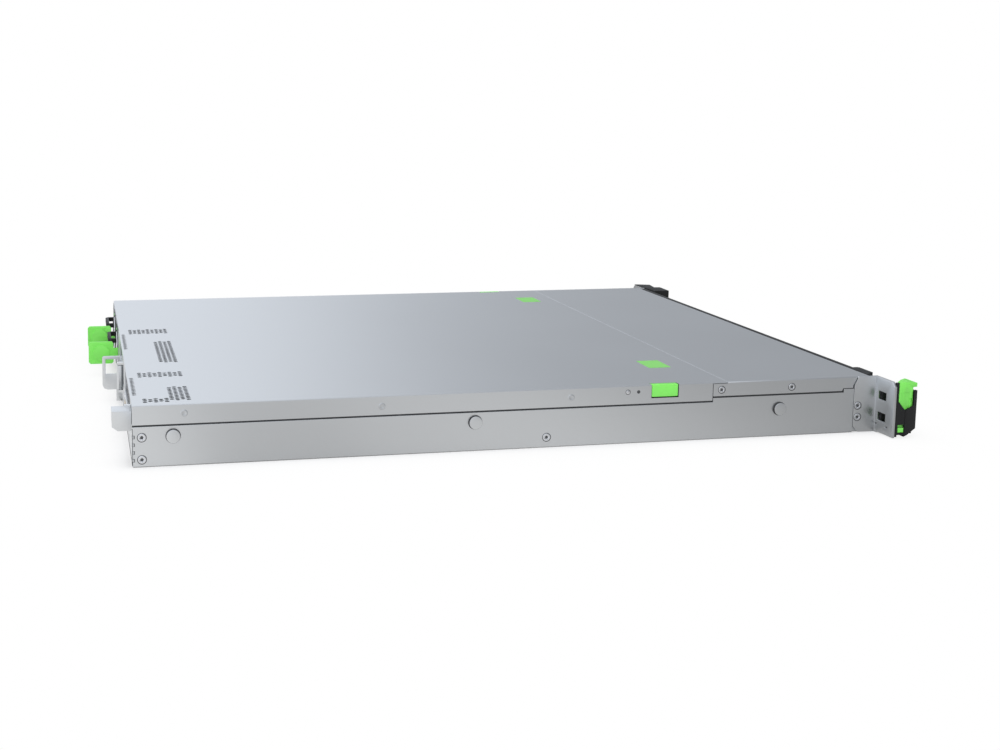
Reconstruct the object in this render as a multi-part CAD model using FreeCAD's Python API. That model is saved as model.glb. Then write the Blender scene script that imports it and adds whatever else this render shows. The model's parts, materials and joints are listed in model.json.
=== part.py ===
import FreeCAD
import Part
import math
import os

from FreeCAD import Vector

# A short 1U rack server: sheet-metal chassis, two-part lid, ears with quick-release levers,
# four hot-plug drive bays, fans, board, two plug-in power supplies and two card slots.
# Working axes: X across, Y from the rack plane (0) to the rear, Z up from the underside.
# Export moves the part so that its origin is the middle of its footprint.

# Overall sizes
body_width = 435.0
body_height = 43.0
rear_y = 558.0
ear_reach = 23.8

# Sheet, clearances and small common sizes
sheet = 1.0
cover_sheet = 0.8
running_gap = 0.3
seam_gap = 0.5
flange_gap = 1.2
board_thick = 1.6

# Lid: rear cover, front cover and their side flanges
cover_seam_y = 122.6
cover_flange_y = 134.2
cover_flange_z = 29.3
front_flange_z = 32.4
front_flange_y = 28.4
front_cover_y = 5.2
front_flange_step_z = 34.4
front_flange_start_y = 19.2
front_corner_y = 15.4
tongue_lap = 13.0
tongue_inset = 15.5
tongue_seat = 5.5
strip_inner_lap = 1.0
wall_top_z = 41.5

# Honeycomb vents in the rear cover
vent_hole = 3.0
vent_pitch_x = 4.3
vent_pitch_y = 3.75
vent_edge_y = rear_y - 3.0
vent_row_y = rear_y - 39.4

# Cover latches
latch_y = 161.7
latch_length = 20.6
latch_bottom_z = 33.8
latch_lap = 4.6
latch_gap = 0.4
latch_drop = 0.7
latch_room = 2.0
latch_sill_z = 31.5
finger_joint_height = 2.4
finger_joint_pitch = 5.4
finger_joint_count = 4
finger_joint_z = 3.7
finger_joint_gap = 0.4

# Rail studs and side screws
stud_y = (79.8, 316.6, rear_y - 27.6)
stud_z = 21.0
stud_head_radius = 4.8
stud_head_thick = 0.8
stud_neck_radius = 3.0
stud_neck_length = 1.2
side_screw_places = ((rear_y - 6.5, 20.7), (rear_y - 6.5, 5.3), (262.7, 7.5))
side_screw_radius = 2.9
cover_screw_places = ((127.0, 37.2), (70.2, 37.2))
cover_screw_radius = 2.6
ear_screw_places = ((14.6, 20.5), (14.4, 11.7))
ear_screw_radius = 2.8
screw_shank_radius = 1.4
screw_stand = 0.15
screw_sink = 0.4
screw_length = 2.4
ear_screw_length = 3.4

# Ears
ear_thick = 2.0
ear_leg_length = 18.0
ear_leg_foot_y = 13.5
ear_leg_low_z = 5.0
ear_leg_high_z = 36.5
ear_leg_top_y = 14.8
ear_low_z = 0.8
ear_corner = 3.3
ear_window_width = 9.9
ear_window_height = 6.2
ear_window_out = 8.5
ear_window_z = (13.3, 29.5)
ear_hole_places = ((1.9, 6.7), (15.3, 6.9))
ear_hole_radius = 0.8
housing_in = 5.5
housing_low_z = 1.5
housing_top_z = 35.5
housing_side_y = -9.8
housing_front_y = -20.8
housing_corner_in = 5.3
housing_wall = 2.4
housing_rim = 1.7
housing_foot_z = 3.0
housing_cavity_out = 5.5
housing_chamfer_z = 5.8
housing_bevel = 1.0
hood_low_z = 34.5
hood_plan = ((-26.5, -2.0), (-26.5, -18.2), (-3.0, -18.8), (-1.9, -12.7), (15.5, -15.0), (20.1, -2.0))
hood_lip = 0.5
bump_in = (11.5, 32.5)
bump_out = 5.0
lever_tip_z = 21.5
lever_back_z = 28.3
lever_front_z = 24.5
lever_tab_z = 36.0
lever_tab_floor_z = 38.0
lever_tab_drop = 2.0
lever_tab_out = 1.4
lever_tab_root = 2.8
lever_tab_reach = 19.8
lever_recess = 0.8
lever_rib = 3.0
far_lever_top_z = 40.6
lever_thick = 3.6
lever_pin_in = 7.3
lever_pin_z = 8.0
lever_pin_radius = 1.5
lever_knuckle_radius = 3.0

# Drive bays and carriers
bay_count = 4
bay_side_room = 6.5
bay_wall = 0.8
bay_top_z = 30.4
bay_ledge = 3.5
drive_room = 3.9
drive_height = 26.1
drive_length = 147.0
drive_y = 6.0
drive_z = 3.0
drive_shell = 4.0
rail_thick = 0.8
rail_height = 25.0
bezel_front_y = -8.0
bezel_back_y = 4.0
bezel_margin = 0.65
bezel_low_z = 2.0
bezel_high_z = 29.6
finger_window = (-10.0, 7.0)
finger_window_z = (9.6, 22.0)
lever_hinge_x = -46.0
carrier_lever_length = 72.0
carrier_lever_height = 14.0
carrier_lever_thick = 2.4
carrier_lever_z = 15.8
carrier_pin_radius = 0.8
carrier_knuckle_radius = 1.9

# Front strip above the bays
strip_thick = 5.0
strip_low_z = 31.4
strip_vent_pitch = 30.0
strip_vent_width = 26.0
strip_vent_height = 5.0
strip_z = 37.2
strip_vent_end_x = 118.0
usb_places_in = (85.5, 68.5)
usb_width = 13.2
usb_height = 5.8
power_button_in = 49.5
power_button_radius = 3.1
id_button_in = 38.0
id_button_radius = 2.2
button_travel = 1.2
button_stand = 1.4
control_board_y = 9.5

# Backplane, fans and their holder
backplane_gap = 3.3
backplane_inset = 8.5
backplane_low_z = 3.0
backplane_high_z = 39.0
fan_size = 40.0
fan_depth = 28.0
fan_back_gap = 27.7
fan_bore_radius = 18.9
fan_hub_radius = 9.0
fan_blade_count = 5
fan_blade_radius = 18.2
fan_count = 4
fan_pitch = 68.0
fan_first_in = 52.5
fan_low_z = 1.4
fan_strut_width = 2.0
holder_thick = 1.0
holder_height = 40.5

# Main board and what stands on it
board_inset = 5.5
board_cage_gap = 6.3
board_fan_gap = 12.0
board_rear_gap = 5.0
layout_left = -212.0
layout_width = 270.0
board_z = 5.6
standoff_radius = 3.0
standoff_places = (-200.0, -70.0, 46.0)
standoff_insets = (10.0, 23.0)
sink_place = -66.0
sink_from_edge = 82.0
sink_width = 88.0
sink_length = 92.0
sink_base_z = 11.0
sink_base_thick = 3.5
sink_top_z = 37.5
sink_fin_thick = 0.8
sink_fin_pitch = 4.2
sink_screw_radius = 2.2
sink_screw_inset = 6.0
memory_count = 4
memory_pitch = 9.0
memory_in = 22.0
memory_from_edge = 12.0
memory_length = 133.4
memory_height = 30.0
memory_socket_width = 6.4
memory_socket_height = 7.5
memory_socket_extra = 4.5
shroud_thick = 1.2
shroud_half = 62.0
shroud_fan_gap = 2.0
shroud_past_sink = 66.0
shroud_top_z = 40.4

# Rear panel, ports and card slots
slot_low_z = 22.6
slot_high_z = 40.6
slot_1_places = (-26.0, 37.0)
slot_2_places = (-190.0, -84.0)
blank_lap = 1.6
blank_slot_height = 2.0
blank_slot_count = 4
port_depth = 16.0
port_wall = 0.9
port_gap = 0.3
port_lift = 0.2
port_list = (
    (48.0, 16.6, 13.4),
    (26.0, 14.4, 13.4),
    (8.0, 14.4, 13.4),
    (-12.0, 16.6, 13.4),
    (-62.0, 16.6, 13.4),
    (-90.0, 31.0, 12.2),
    (-132.0, 31.0, 12.2),
)
riser_length = 126.0
riser_wall = 1.0

# Power supplies
psu_width = 73.5
psu_height = 39.6
psu_length = 185.0
psu_low_z = 1.4
psu_side_gap = 0.5
psu_wall = 1.2
psu_face_out = 0.5
psu_face_thick = 2.0
psu_fan_x = 25.0
psu_fan_radius = 15.0
psu_grille_bar = 1.6
inlet_x = 53.5
inlet_z = 13.0
inlet_width = 28.0
inlet_height = 20.5
inlet_out = 1.0
inlet_depth = 19.0
inlet_mouth_width = 24.4
inlet_mouth_height = 16.9
inlet_mouth_depth = 15.5
inlet_corner = 5.0
inlet_pin_width = 2.0
inlet_pin_height = 4.0
inlet_pin_length = 10.4
inlet_pin_pitch = 7.0
bail_x0 = 30.0
bail_x1 = 66.0
bail_z = 24.6
bail_thick = 3.8
bail_bar = 3.0
bail_out = 8.5
psu_lever_x = 4.4
psu_lever_thick = 2.0
psu_grip_y0 = 4.5
psu_grip_y1 = 26.0
psu_grip_z0 = 11.5
psu_grip_z1 = 31.0
psu_grip_bevel = 1.6
psu_thumb_radius = 7.0
psu_thumb_rise = 0.6
psu_stem_height = 8.0
psu_pivot_in = 5.0
psu_pivot_radius = 1.5

# Card-slot clamps at the rear
clamp_thick = 1.2
clamp_pin_radius = 1.2
clamp_knuckle_radius = 2.3
clamp_out = 16.0
clamp_1_place = -28.0
clamp_1_leg = 18.0
clamp_1_low_z = 11.0
clamp_1_high_z = 38.5
clamp_1_window_z = 24.0
clamp_1_neck_out = 5.0
clamp_1_neck_z = 1.4
clamp_corner = 4.0
clamp_2_in = 1.0
clamp_2_leg = 19.0
clamp_2_out = 13.4
clamp_2_low_z = 25.6
clamp_2_high_z = 39.2

# Values worked out from the sizes above
half_width = body_width / 2
half_ear = half_width + ear_reach
wall_inner_x = half_width - sheet
upper_outer_x = half_width - cover_sheet - running_gap
upper_inner_x = upper_outer_x - sheet
cover_under_z = body_height - cover_sheet
shelf_rear_z = cover_flange_z - flange_gap
shelf_front_z = front_flange_z - flange_gap
ear_wall_x = half_width - ear_thick
ear_window_x = half_width + ear_window_out
housing_inner_x = half_width - housing_in
housing_corner_x = half_ear - housing_corner_in
housing_cavity_x = half_width + housing_cavity_out
lever_pin_x = half_ear - lever_pin_in
bay_pitch = (body_width - 2 * bay_side_room) / bay_count
drive_width = bay_pitch - drive_room
bay_centres_x = [(i - (bay_count - 1) / 2) * bay_pitch for i in range(bay_count)]
drive_end_y = drive_y + drive_length
bay_end_y = drive_end_y - 1.0
rail_y_end = drive_end_y + 1.0
usb_places_x = [half_width - place for place in usb_places_in]
power_button_x = half_width - power_button_in
id_button_x = half_width - id_button_in
backplane_y = drive_end_y + backplane_gap
fan_y = backplane_y + fan_back_gap
fan_centres_x = [fan_first_in - half_width + i * fan_pitch for i in range(fan_count)]
psu_right_x = upper_inner_x - 0.6
psu_pitch = psu_width + 2 * psu_side_gap + sheet
psu_left_xs = (psu_right_x - psu_width - psu_pitch, psu_right_x - psu_width)
psu_front_y = rear_y + psu_face_out - psu_length
psu_top_z = psu_low_z + psu_height
cage_left_x = psu_left_xs[0] - psu_side_gap - sheet
panel_end_x = cage_left_x
board_x0 = board_inset - half_width
board_x1 = cage_left_x - board_cage_gap
board_y0 = fan_y + fan_depth + board_fan_gap
board_y1 = rear_y - board_rear_gap
board_top_z = board_z + board_thick
layout_scale = (board_x1 - board_x0) / layout_width
front_reach_y = housing_front_y - lever_tab_out
rear_reach_y = rear_y + psu_grip_y1
origin_y = (front_reach_y + rear_reach_y) / 2


def across(place):
    """Where a place in the board's 270 mm wide layout falls on the real board."""
    return board_x0 + (place - layout_left) * layout_scale


standoff_xs = [across(place) for place in standoff_places]
standoff_ys = (board_y0 + standoff_insets[0], board_y1 - standoff_insets[1])
sink_x = across(sink_place)
sink_y = board_y0 + sink_from_edge
memory_xs = [board_x0 + memory_in + i * memory_pitch for i in range(memory_count)]
memory_y = board_y0 + memory_from_edge
shroud_x0 = sink_x - shroud_half
shroud_x1 = sink_x + shroud_half
shroud_y0 = fan_y + fan_depth + shroud_fan_gap
shroud_y1 = sink_y + shroud_past_sink
slot_1_x = [across(place) for place in slot_1_places]
slot_2_x = [across(place) for place in slot_2_places]
clamp_1_x = across(clamp_1_place)
clamp_1_hinge_x = clamp_1_x - clamp_1_leg
clamp_2_x = clamp_2_in - half_width
clamp_2_hinge_x = clamp_2_x + clamp_2_leg

X_AXIS = Vector(1, 0, 0)
Y_AXIS = Vector(0, 1, 0)
Z_AXIS = Vector(0, 0, 1)


# Shape helpers
def block(x0, x1, y0, y1, z0, z1):
    """A box between two corners."""
    low = Vector(min(x0, x1), min(y0, y1), min(z0, z1))
    return Part.makeBox(abs(x1 - x0), abs(y1 - y0), abs(z1 - z0), low)


def rod(radius, x, y, z, length, axis):
    """A round bar that starts at a point."""
    return Part.makeCylinder(radius, length, Vector(x, y, z), axis)


def post(radius, x, y, z, length, axis, sides=8):
    """A small bar with flats in place of its round, which starts at a point."""
    centre = Vector(x, y, z)
    first = Z_AXIS if abs(axis.dot(Z_AXIS)) < 0.5 else X_AXIS
    second = axis.cross(first)
    reach = radius / math.cos(math.pi / sides)
    corners = []
    for i in range(sides + 1):
        angle = 2 * math.pi * (i + 0.5) / sides
        corners.append(centre + first * (reach * math.cos(angle)) + second * (reach * math.sin(angle)))
    return Part.Face(Part.makePolygon(corners)).extrude(axis * length)


def prism(points, axis, start, length):
    """A closed outline pushed along X, Y or Z."""
    corners = []
    for a, b in points:
        if axis == "x":
            corners.append(Vector(start, a, b))
        elif axis == "y":
            corners.append(Vector(a, start, b))
        else:
            corners.append(Vector(a, b, start))
    corners.append(corners[0])
    face = Part.Face(Part.makePolygon(corners))
    way = {"x": X_AXIS, "y": Y_AXIS, "z": Z_AXIS}[axis]
    return face.extrude(way * length)


def joined(shapes):
    """One solid from pieces that touch or overlap."""
    whole = shapes[0].fuse(shapes[1:]) if len(shapes) > 1 else shapes[0]
    return whole.removeSplitter()


def drilled(shape, tools):
    """A shape with every tool cut out of it."""
    return shape.cut(Part.makeCompound(tools))


def mirrored(shape):
    """The same shape on the other side of the middle."""
    return shape.mirror(Vector(0, 0, 0), X_AXIS)


def both_sides(shape):
    return [shape, mirrored(shape)]


def bevelled(shape, size, axis):
    """Bevels the straight edges that run along one axis."""
    edges = []
    for edge in shape.Edges:
        if not isinstance(edge.Curve, Part.Line):
            continue
        way = edge.Vertexes[1].Point.sub(edge.Vertexes[0].Point)
        if way.Length > 0 and abs(way.dot(axis)) > 0.999 * way.Length:
            edges.append(edge)
    return shape.makeChamfer(size, edges)


def save(name, shapes):
    """Writes one named sub-part in the part's own frame."""
    solids = []
    for shape in shapes:
        solids.extend(shape.Solids)
    group = Part.makeCompound(solids)
    group.translate(Vector(0, -origin_y, 0))
    group.exportStep("parts/" + name + ".step")
    print(name, len(solids), "solids", "valid" if group.isValid() else "NOT VALID")


# Chassis and its fasteners
def tub_section():
    """Cross-section of the tray: a floor and two low walls."""
    half = [(half_width, 0.0), (half_width, shelf_rear_z), (wall_inner_x, shelf_rear_z), (wall_inner_x, sheet)]
    left = [(-x, z) for x, z in reversed(half)]
    return half + left


def finger_joints(x0, x1, gap):
    """The blocks where the left wall and the rear panel are fingered together."""
    fingers = []
    for i in range(finger_joint_count):
        low = finger_joint_z + i * finger_joint_pitch + gap
        high = low + finger_joint_height - 2 * gap
        fingers.append(block(x0, x1, rear_y - sheet, rear_y + gap, low, high))
    return fingers


def make_chassis_tub():
    wall_y = ear_leg_length + running_gap
    tray = prism(tub_section(), "y", wall_y, rear_y - wall_y)
    front = block(-ear_wall_x, ear_wall_x, sheet, wall_y, 0.0, sheet)
    bosses = []
    for x in standoff_xs:
        for y in standoff_ys:
            bosses.append(post(standoff_radius, x, y, sheet * 0.5, board_z - sheet * 0.5, Z_AXIS, 6))
    tub = joined([tray, front] + bosses)
    return drilled(tub, finger_joints(-half_width - 1, -wall_inner_x, 0.0))


def make_seam_strips():
    """Strips that carry the walls up beside the lid, and the tongue under the cross seam."""
    wall_y = ear_leg_length + running_gap
    step_y = cover_flange_y - seam_gap
    low_z = shelf_rear_z - strip_inner_lap
    pieces = []
    raised_z = front_flange_step_z - seam_gap
    raised_y = front_flange_y - 1.4
    lower = [(wall_y, shelf_rear_z), (step_y, shelf_rear_z), (step_y, shelf_front_z)]
    lower += [(raised_y, shelf_front_z), (raised_y, raised_z), (wall_y, raised_z)]
    pieces.append(prism(lower, "x", -half_width, sheet))
    pieces.append(block(-ear_wall_x, -ear_wall_x + sheet, sheet, wall_y, sheet, wall_top_z))
    section = [(-upper_inner_x, low_z), (-wall_inner_x, low_z), (-wall_inner_x, shelf_rear_z)]
    section += [(-upper_outer_x, shelf_rear_z), (-upper_outer_x, wall_top_z), (-upper_inner_x, wall_top_z)]
    pieces.append(prism(section, "y", wall_y, latch_y - latch_room - wall_y))
    rear_start = latch_y + latch_length + latch_room
    pieces.append(prism(section, "y", rear_start, rear_y - rear_start))
    pieces.append(block(-upper_outer_x, -upper_inner_x, latch_y - latch_room, rear_start,
                        low_z, latch_sill_z))
    pieces += [mirrored(piece) for piece in pieces]
    tongue_half = half_width - tongue_inset
    tongue_top = cover_under_z - running_gap
    tongue = block(-tongue_half, tongue_half, cover_seam_y - tongue_lap, cover_seam_y + tongue_lap,
                   tongue_top - cover_sheet, tongue_top)
    seat = block(-tongue_half, tongue_half, cover_seam_y - tongue_lap,
                 cover_seam_y - tongue_lap + tongue_seat, tongue_top - cover_sheet, cover_under_z)
    pieces.append(joined([tongue, seat]))
    return pieces


def make_screws(places, radius, length):
    """Flat-head screws in both walls: a head just proud of the sheet and a shank that bites into it."""
    pieces = []
    head_x = -half_width - screw_stand
    for y, z in places:
        head = post(radius, head_x, y, z, screw_stand + screw_sink, X_AXIS, 6)
        shank = post(screw_shank_radius, head_x, y, z, screw_stand + length, X_AXIS, 4)
        pieces.extend(both_sides(joined([head, shank])))
    return pieces


def make_rail_studs():
    pieces = []
    for y in stud_y:
        head_x = -half_width - stud_neck_length - stud_head_thick
        head = rod(stud_head_radius, head_x, y, stud_z, stud_head_thick, X_AXIS)
        neck = post(stud_neck_radius, head_x + stud_head_thick * 0.5, y, stud_z,
                    stud_head_thick * 0.5 + stud_neck_length, X_AXIS, 6)
        pieces.extend(both_sides(joined([head, neck])))
    return pieces


# Lid
def hexagon_hole(x, y):
    """One honeycomb hole with its flats across the vent."""
    radius = vent_hole / math.sqrt(3)
    points = []
    for i in range(6):
        angle = math.radians(60 * i)
        points.append((x + radius * math.cos(angle), y + radius * math.sin(angle)))
    return prism(points, "z", cover_under_z - 1, cover_sheet + 2)


def vent_column(x0, x1, y, offset):
    """One column of holes between two places across, moved by half a pitch where offset is true."""
    count = int((across(x1) - across(x0)) / vent_pitch_x + 0.01)
    middle = (across(x0) + across(x1)) / 2
    if offset:
        count -= 1
    first = middle - (count - 1) * vent_pitch_x / 2
    return [hexagon_hole(first + i * vent_pitch_x, y) for i in range(count)]


def vent_block(x0, x1, y0, columns):
    holes = []
    for i in range(columns):
        holes.extend(vent_column(x0, x1, y0 + i * vent_pitch_y, i % 2 == 1))
    return holes


def make_vents():
    """The seven groups of holes over the card slots, the ports and the board."""
    holes = []
    holes += vent_block(38.0, 59.5, vent_row_y, 9)
    holes += vent_block(-26.0, 38.5, vent_edge_y, 1)
    holes += vent_block(-82.0, 4.5, vent_row_y, 4)
    holes += vent_block(-132.5, -114.5, vent_row_y, 9)
    holes += vent_block(-190.0, -130.0, vent_edge_y, 1)
    holes += vent_block(-209.0, -162.0, vent_row_y, 4)
    holes += vent_block(-211.0, -197.5, vent_row_y + 4 * vent_pitch_y, 5)
    return holes


def latch_notch():
    """The opening in the left flange and top edge that the latch fills."""
    return block(-half_width - 1, -half_width + latch_lap + latch_gap,
                 latch_y - latch_gap, latch_y + latch_length + latch_gap,
                 latch_bottom_z - latch_drop, body_height + 1)


def folded_plate(y0, y1):
    """A cover's flat top with both long edges rounded where the sheet folds down."""
    plate = block(-half_width, half_width, y0, y1, cover_under_z, body_height)
    edges = []
    for edge in plate.Edges:
        middle = edge.CenterOfMass
        at_corner = abs(abs(middle.x) - half_width) < 0.01 and abs(middle.z - body_height) < 0.01
        if at_corner and edge.Length > body_height:
            edges.append(edge)
    return plate.makeFillet(cover_sheet * 0.9, edges)


def make_top_cover():
    """The lid: the vented top and the two side flanges under its folds."""
    top = folded_plate(cover_seam_y, rear_y)
    flange = block(-half_width, -half_width + cover_sheet, cover_flange_y, rear_y,
                   cover_flange_z, cover_under_z)
    notches = both_sides(latch_notch())
    return [drilled(top, make_vents() + notches)] + both_sides(flange.cut(latch_notch()))


def make_cover_latch():
    """A green rocker latch: the pad on the side, the lap on top and the hook through the wall."""
    low_x = -half_width
    pad = block(low_x, low_x + latch_lap, latch_y, latch_y + latch_length, latch_bottom_z, body_height)
    room = block(low_x + 1.4, low_x + latch_lap + 1, latch_y + 1.4, latch_y + latch_length - 1.4,
                 latch_bottom_z - 1, cover_under_z - 0.8)
    shell = pad.cut(room)
    hook = block(low_x + 1.0, low_x + latch_lap, latch_y + 7, latch_y + latch_length - 7,
                 latch_bottom_z, latch_bottom_z + 2.4)
    return joined([shell, hook])


def make_front_cover():
    """The fixed cover: its top, cut back at the ears, and the two side flanges."""
    top = folded_plate(front_cover_y, cover_seam_y - running_gap)
    corner = block(-half_width - 1, -ear_wall_x + running_gap, front_cover_y - 1, front_corner_y,
                   cover_under_z - 1, body_height + 1)
    lap_z = cover_under_z - running_gap
    outline = [(front_flange_y, front_flange_z), (cover_flange_y - seam_gap, front_flange_z)]
    outline += [(cover_flange_y - seam_gap, lap_z), (cover_seam_y - running_gap, lap_z)]
    outline += [(cover_seam_y - running_gap, cover_under_z), (front_corner_y + 0.6, cover_under_z)]
    outline += [(front_flange_start_y, ear_leg_high_z), (front_flange_start_y, front_flange_step_z)]
    outline += [(front_flange_y - 1.0, front_flange_step_z)]
    flange = prism(outline, "x", -half_width, cover_sheet)
    return [drilled(top, both_sides(corner))] + both_sides(flange)


# Ears
def make_ear_bracket():
    """Left ear: a flange in the rack plane and a leg screwed to the chassis wall."""
    outline = [(-half_ear, ear_low_z), (-half_ear, body_height - ear_corner)]
    outline += [(-half_ear + ear_corner, body_height), (-ear_wall_x, body_height)]
    outline += [(-ear_wall_x, 0.0), (-half_width - 2.5, 0.0), (-half_width - 4.5, ear_low_z)]
    flange = prism(outline, "y", -ear_thick, ear_thick)
    leg_outline = [(-ear_thick, 0.0), (0.0, 0.0), (ear_leg_foot_y, 0.3), (ear_leg_length, ear_leg_low_z)]
    leg_outline += [(ear_leg_length, ear_leg_high_z), (ear_leg_top_y, body_height)]
    leg_outline += [(-ear_thick, body_height)]
    leg = prism(leg_outline, "x", -half_width, ear_thick)
    bracket = joined([flange, leg])
    tools = []
    for z in ear_window_z:
        tools.append(block(-ear_window_x - ear_window_width / 2, -ear_window_x + ear_window_width / 2,
                           -ear_thick - 1, 1, z - ear_window_height / 2, z + ear_window_height / 2))
    for x, z in ear_hole_places:
        tools.append(post(ear_hole_radius, -half_width - x, -ear_thick - 1, z, ear_thick + 2, Y_AXIS, 6))
    return drilled(bracket, tools)


def housing_outline():
    """Plan of the left ear housing, from its inner side round to the outer corner."""
    points = [(-housing_inner_x, -ear_thick), (-half_ear, -ear_thick), (-half_ear, housing_side_y)]
    points += [(-housing_corner_x, housing_front_y), (-housing_inner_x, housing_front_y)]
    return points


def lever_window():
    """The V-shaped opening in the housing's outer side, as a solid to cut."""
    top = body_height + 1
    rim_y = -ear_thick - housing_rim
    column_y = housing_front_y + housing_wall
    outline = [(rim_y, top), (rim_y, lever_back_z), (housing_side_y, lever_tip_z)]
    outline += [(column_y, lever_front_z), (column_y, top)]
    width = half_ear + 1 - housing_cavity_x
    return prism(outline, "x", -half_ear - 1, width)


def housing_body():
    """The part of the left ear housing below the tab: a hollow block open behind the rack windows."""
    body = prism(housing_outline(), "z", housing_low_z, housing_top_z - housing_low_z)
    body = bevelled(body, housing_bevel, Z_AXIS)
    chamfer = [(housing_side_y, housing_low_z - 0.1), (housing_front_y - 1, housing_low_z - 0.1)]
    chamfer += [(housing_front_y - 1, housing_chamfer_z)]
    toe = prism(chamfer, "x", -half_ear - 1, half_ear)
    room_z = housing_low_z + 2.2
    foot = block(-half_ear - 1, -half_ear + 8, -ear_thick - housing_rim, housing_side_y + 0.6,
                 housing_low_z - 1, housing_foot_z)
    cavity = block(-half_ear + housing_wall, -housing_cavity_x, -ear_thick + 1,
                   housing_front_y + housing_wall, room_z, body_height + 1)
    tip = block(-half_ear - 1, -half_ear + housing_wall + 1, -4.2, -9.8, 4.2, 10.6)
    inner = block(-housing_cavity_x + housing_wall, -housing_inner_x - housing_wall, -ear_thick + 1,
                  housing_front_y + housing_wall, room_z, housing_top_z - 2)
    body = drilled(body, [toe, foot, cavity, tip, inner, lever_window()])
    rim = block(-half_ear, -half_ear + housing_wall, -ear_thick - housing_rim, -ear_thick,
                housing_top_z - 1, body_height - 0.3)
    return joined([body, rim])


def lever_seat():
    """The pin that the lever turns on and the lug that holds it."""
    lug_y = housing_front_y + housing_wall
    pin = post(lever_pin_radius, -lever_pin_x, lug_y, lever_pin_z, -ear_thick - lug_y, Y_AXIS)
    lug = block(-lever_pin_x - 2.6, -lever_pin_x + 2.6, lug_y - 0.5, lug_y + 1.0,
                housing_low_z + 1.0, lever_pin_z + 2.6)
    return [pin, lug]


def make_ear_housing():
    """Left ear housing, low enough to leave the whole of the lever's tab free."""
    return joined([housing_body()] + lever_seat())


def make_hooded_housing():
    """Right ear housing: the left one's body under a hood that covers the lever's top."""
    plan = [(-half_width - out, y) for out, y in hood_plan]
    top_z = body_height + hood_lip
    hood = prism(plan, "z", hood_low_z, top_z - hood_low_z)
    room = block(-housing_cavity_x, -half_width - hood_plan[0][0] - housing_wall, -ear_thick - housing_wall,
                 hood_plan[1][1] + housing_wall, hood_low_z + 1.2, top_z - 1.7)
    swing = block(-half_ear - 1, -housing_cavity_x, -ear_thick + 1, housing_front_y - 1,
                  hood_low_z - 1, far_lever_top_z + 1.2)
    hood = drilled(hood, [room, swing])
    lip = block(-half_width - 20, -half_width - 1, -ear_thick - 1, 0.5, body_height + 0.1, top_z)
    return mirrored(joined([housing_body(), hood, lip] + lever_seat()))


def lever_core(top_z):
    """The part of the left lever that both ears share: the pad, its V foot, the stem and the knuckle."""
    gap = running_gap + 0.1
    back_y = -ear_thick - housing_rim - gap
    front_y = housing_front_y + housing_wall + gap
    slope = (half_ear - housing_corner_x) / (housing_side_y - housing_front_y)
    front_x = half_ear - slope * (housing_side_y - front_y)
    plan = [(-half_ear, back_y), (-half_ear, housing_side_y), (-front_x, front_y)]
    plan += [(-front_x + lever_thick, front_y)]
    plan += [(-half_ear + lever_thick, housing_side_y + 1), (-half_ear + lever_thick, back_y)]
    pad = prism(plan, "z", lever_tip_z, top_z - lever_tip_z)
    foot = [(back_y + 1, lever_back_z + gap + 1), (back_y + 1, lever_tip_z - 5)]
    foot += [(housing_front_y - 1, lever_tip_z - 5), (housing_front_y - 1, lever_front_z + gap)]
    foot += [(housing_side_y, lever_tip_z + gap), (back_y, lever_back_z + gap)]
    recess = [(-half_ear - 1, back_y - 1.2), (-half_ear + lever_recess, back_y - 1.2)]
    rib_y = front_y + lever_rib
    rib_x = half_ear - slope * (housing_side_y - rib_y)
    recess += [(-half_ear + lever_recess, housing_side_y), (-rib_x + lever_recess, rib_y)]
    recess += [(-half_ear - 1, rib_y)]
    pad = drilled(pad, [prism(foot, "x", -half_ear - 1, 20),
                        prism(recess, "z", lever_tip_z - 1, lever_tab_z - lever_tip_z)])
    stem_y0 = housing_front_y + housing_wall + 1.0 + gap + 1.0
    stem_x = -half_ear + housing_wall + gap
    stem = block(stem_x, stem_x + lever_thick, stem_y0, back_y, lever_pin_z - 1, lever_tab_z)
    bridge = block(-half_ear + lever_thick - 1.2, stem_x + lever_thick, stem_y0, back_y - 1,
                   lever_back_z + 2, lever_tab_z)
    knuckle = post(lever_knuckle_radius, -lever_pin_x, stem_y0, lever_pin_z, back_y - stem_y0, Y_AXIS)
    web = block(stem_x + 0.5, -lever_pin_x, stem_y0, back_y, lever_pin_z - 1, lever_pin_z + 3)
    tip = block(-half_ear + 0.6, stem_x + 1, back_y - 0.5, -9.4, 4.8, 8.2)
    return [pad, stem, bridge, knuckle, web, tip]


def lever_bore():
    return post(lever_pin_radius + 0.35, -lever_pin_x, housing_front_y, lever_pin_z, 30, Y_AXIS)


def make_ear_lever():
    """Left release lever, green, with the wedge-shaped tab that the thumb pushes."""
    back_y = -ear_thick - housing_rim - running_gap - 0.1
    out_y = housing_front_y - lever_tab_out
    side = [(back_y, lever_tab_floor_z), (back_y, body_height), (housing_side_y, body_height)]
    side += [(out_y, body_height - lever_tab_drop), (out_y, lever_tab_floor_z)]
    slab = prism(side, "x", -half_ear - 1, lever_tab_reach + 3)
    inner_x = -half_ear + lever_tab_reach
    wedge = [(-half_ear, back_y), (-half_ear, housing_side_y), (-housing_corner_x, housing_front_y)]
    wedge += [(-housing_corner_x, out_y), (inner_x, out_y), (inner_x, housing_front_y)]
    wedge += [(-half_ear + lever_tab_root, back_y)]
    tab = slab.common(prism(wedge, "z", lever_tab_z - 1, 10))
    groove = block(-housing_corner_x + 1.5, inner_x - 1.5, housing_front_y + 2.2, housing_front_y + 3.4,
                   body_height - 2.4, body_height + 1)
    core = lever_core(lever_tab_floor_z)
    neck = block(-half_ear + lever_thick - 1.2, -half_ear + lever_thick + 3.0, housing_front_y + 4.5,
                 housing_side_y, lever_tab_z - 1, lever_tab_floor_z + 1)
    return drilled(joined(core + [tab, neck]), [lever_bore(), groove])


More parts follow.
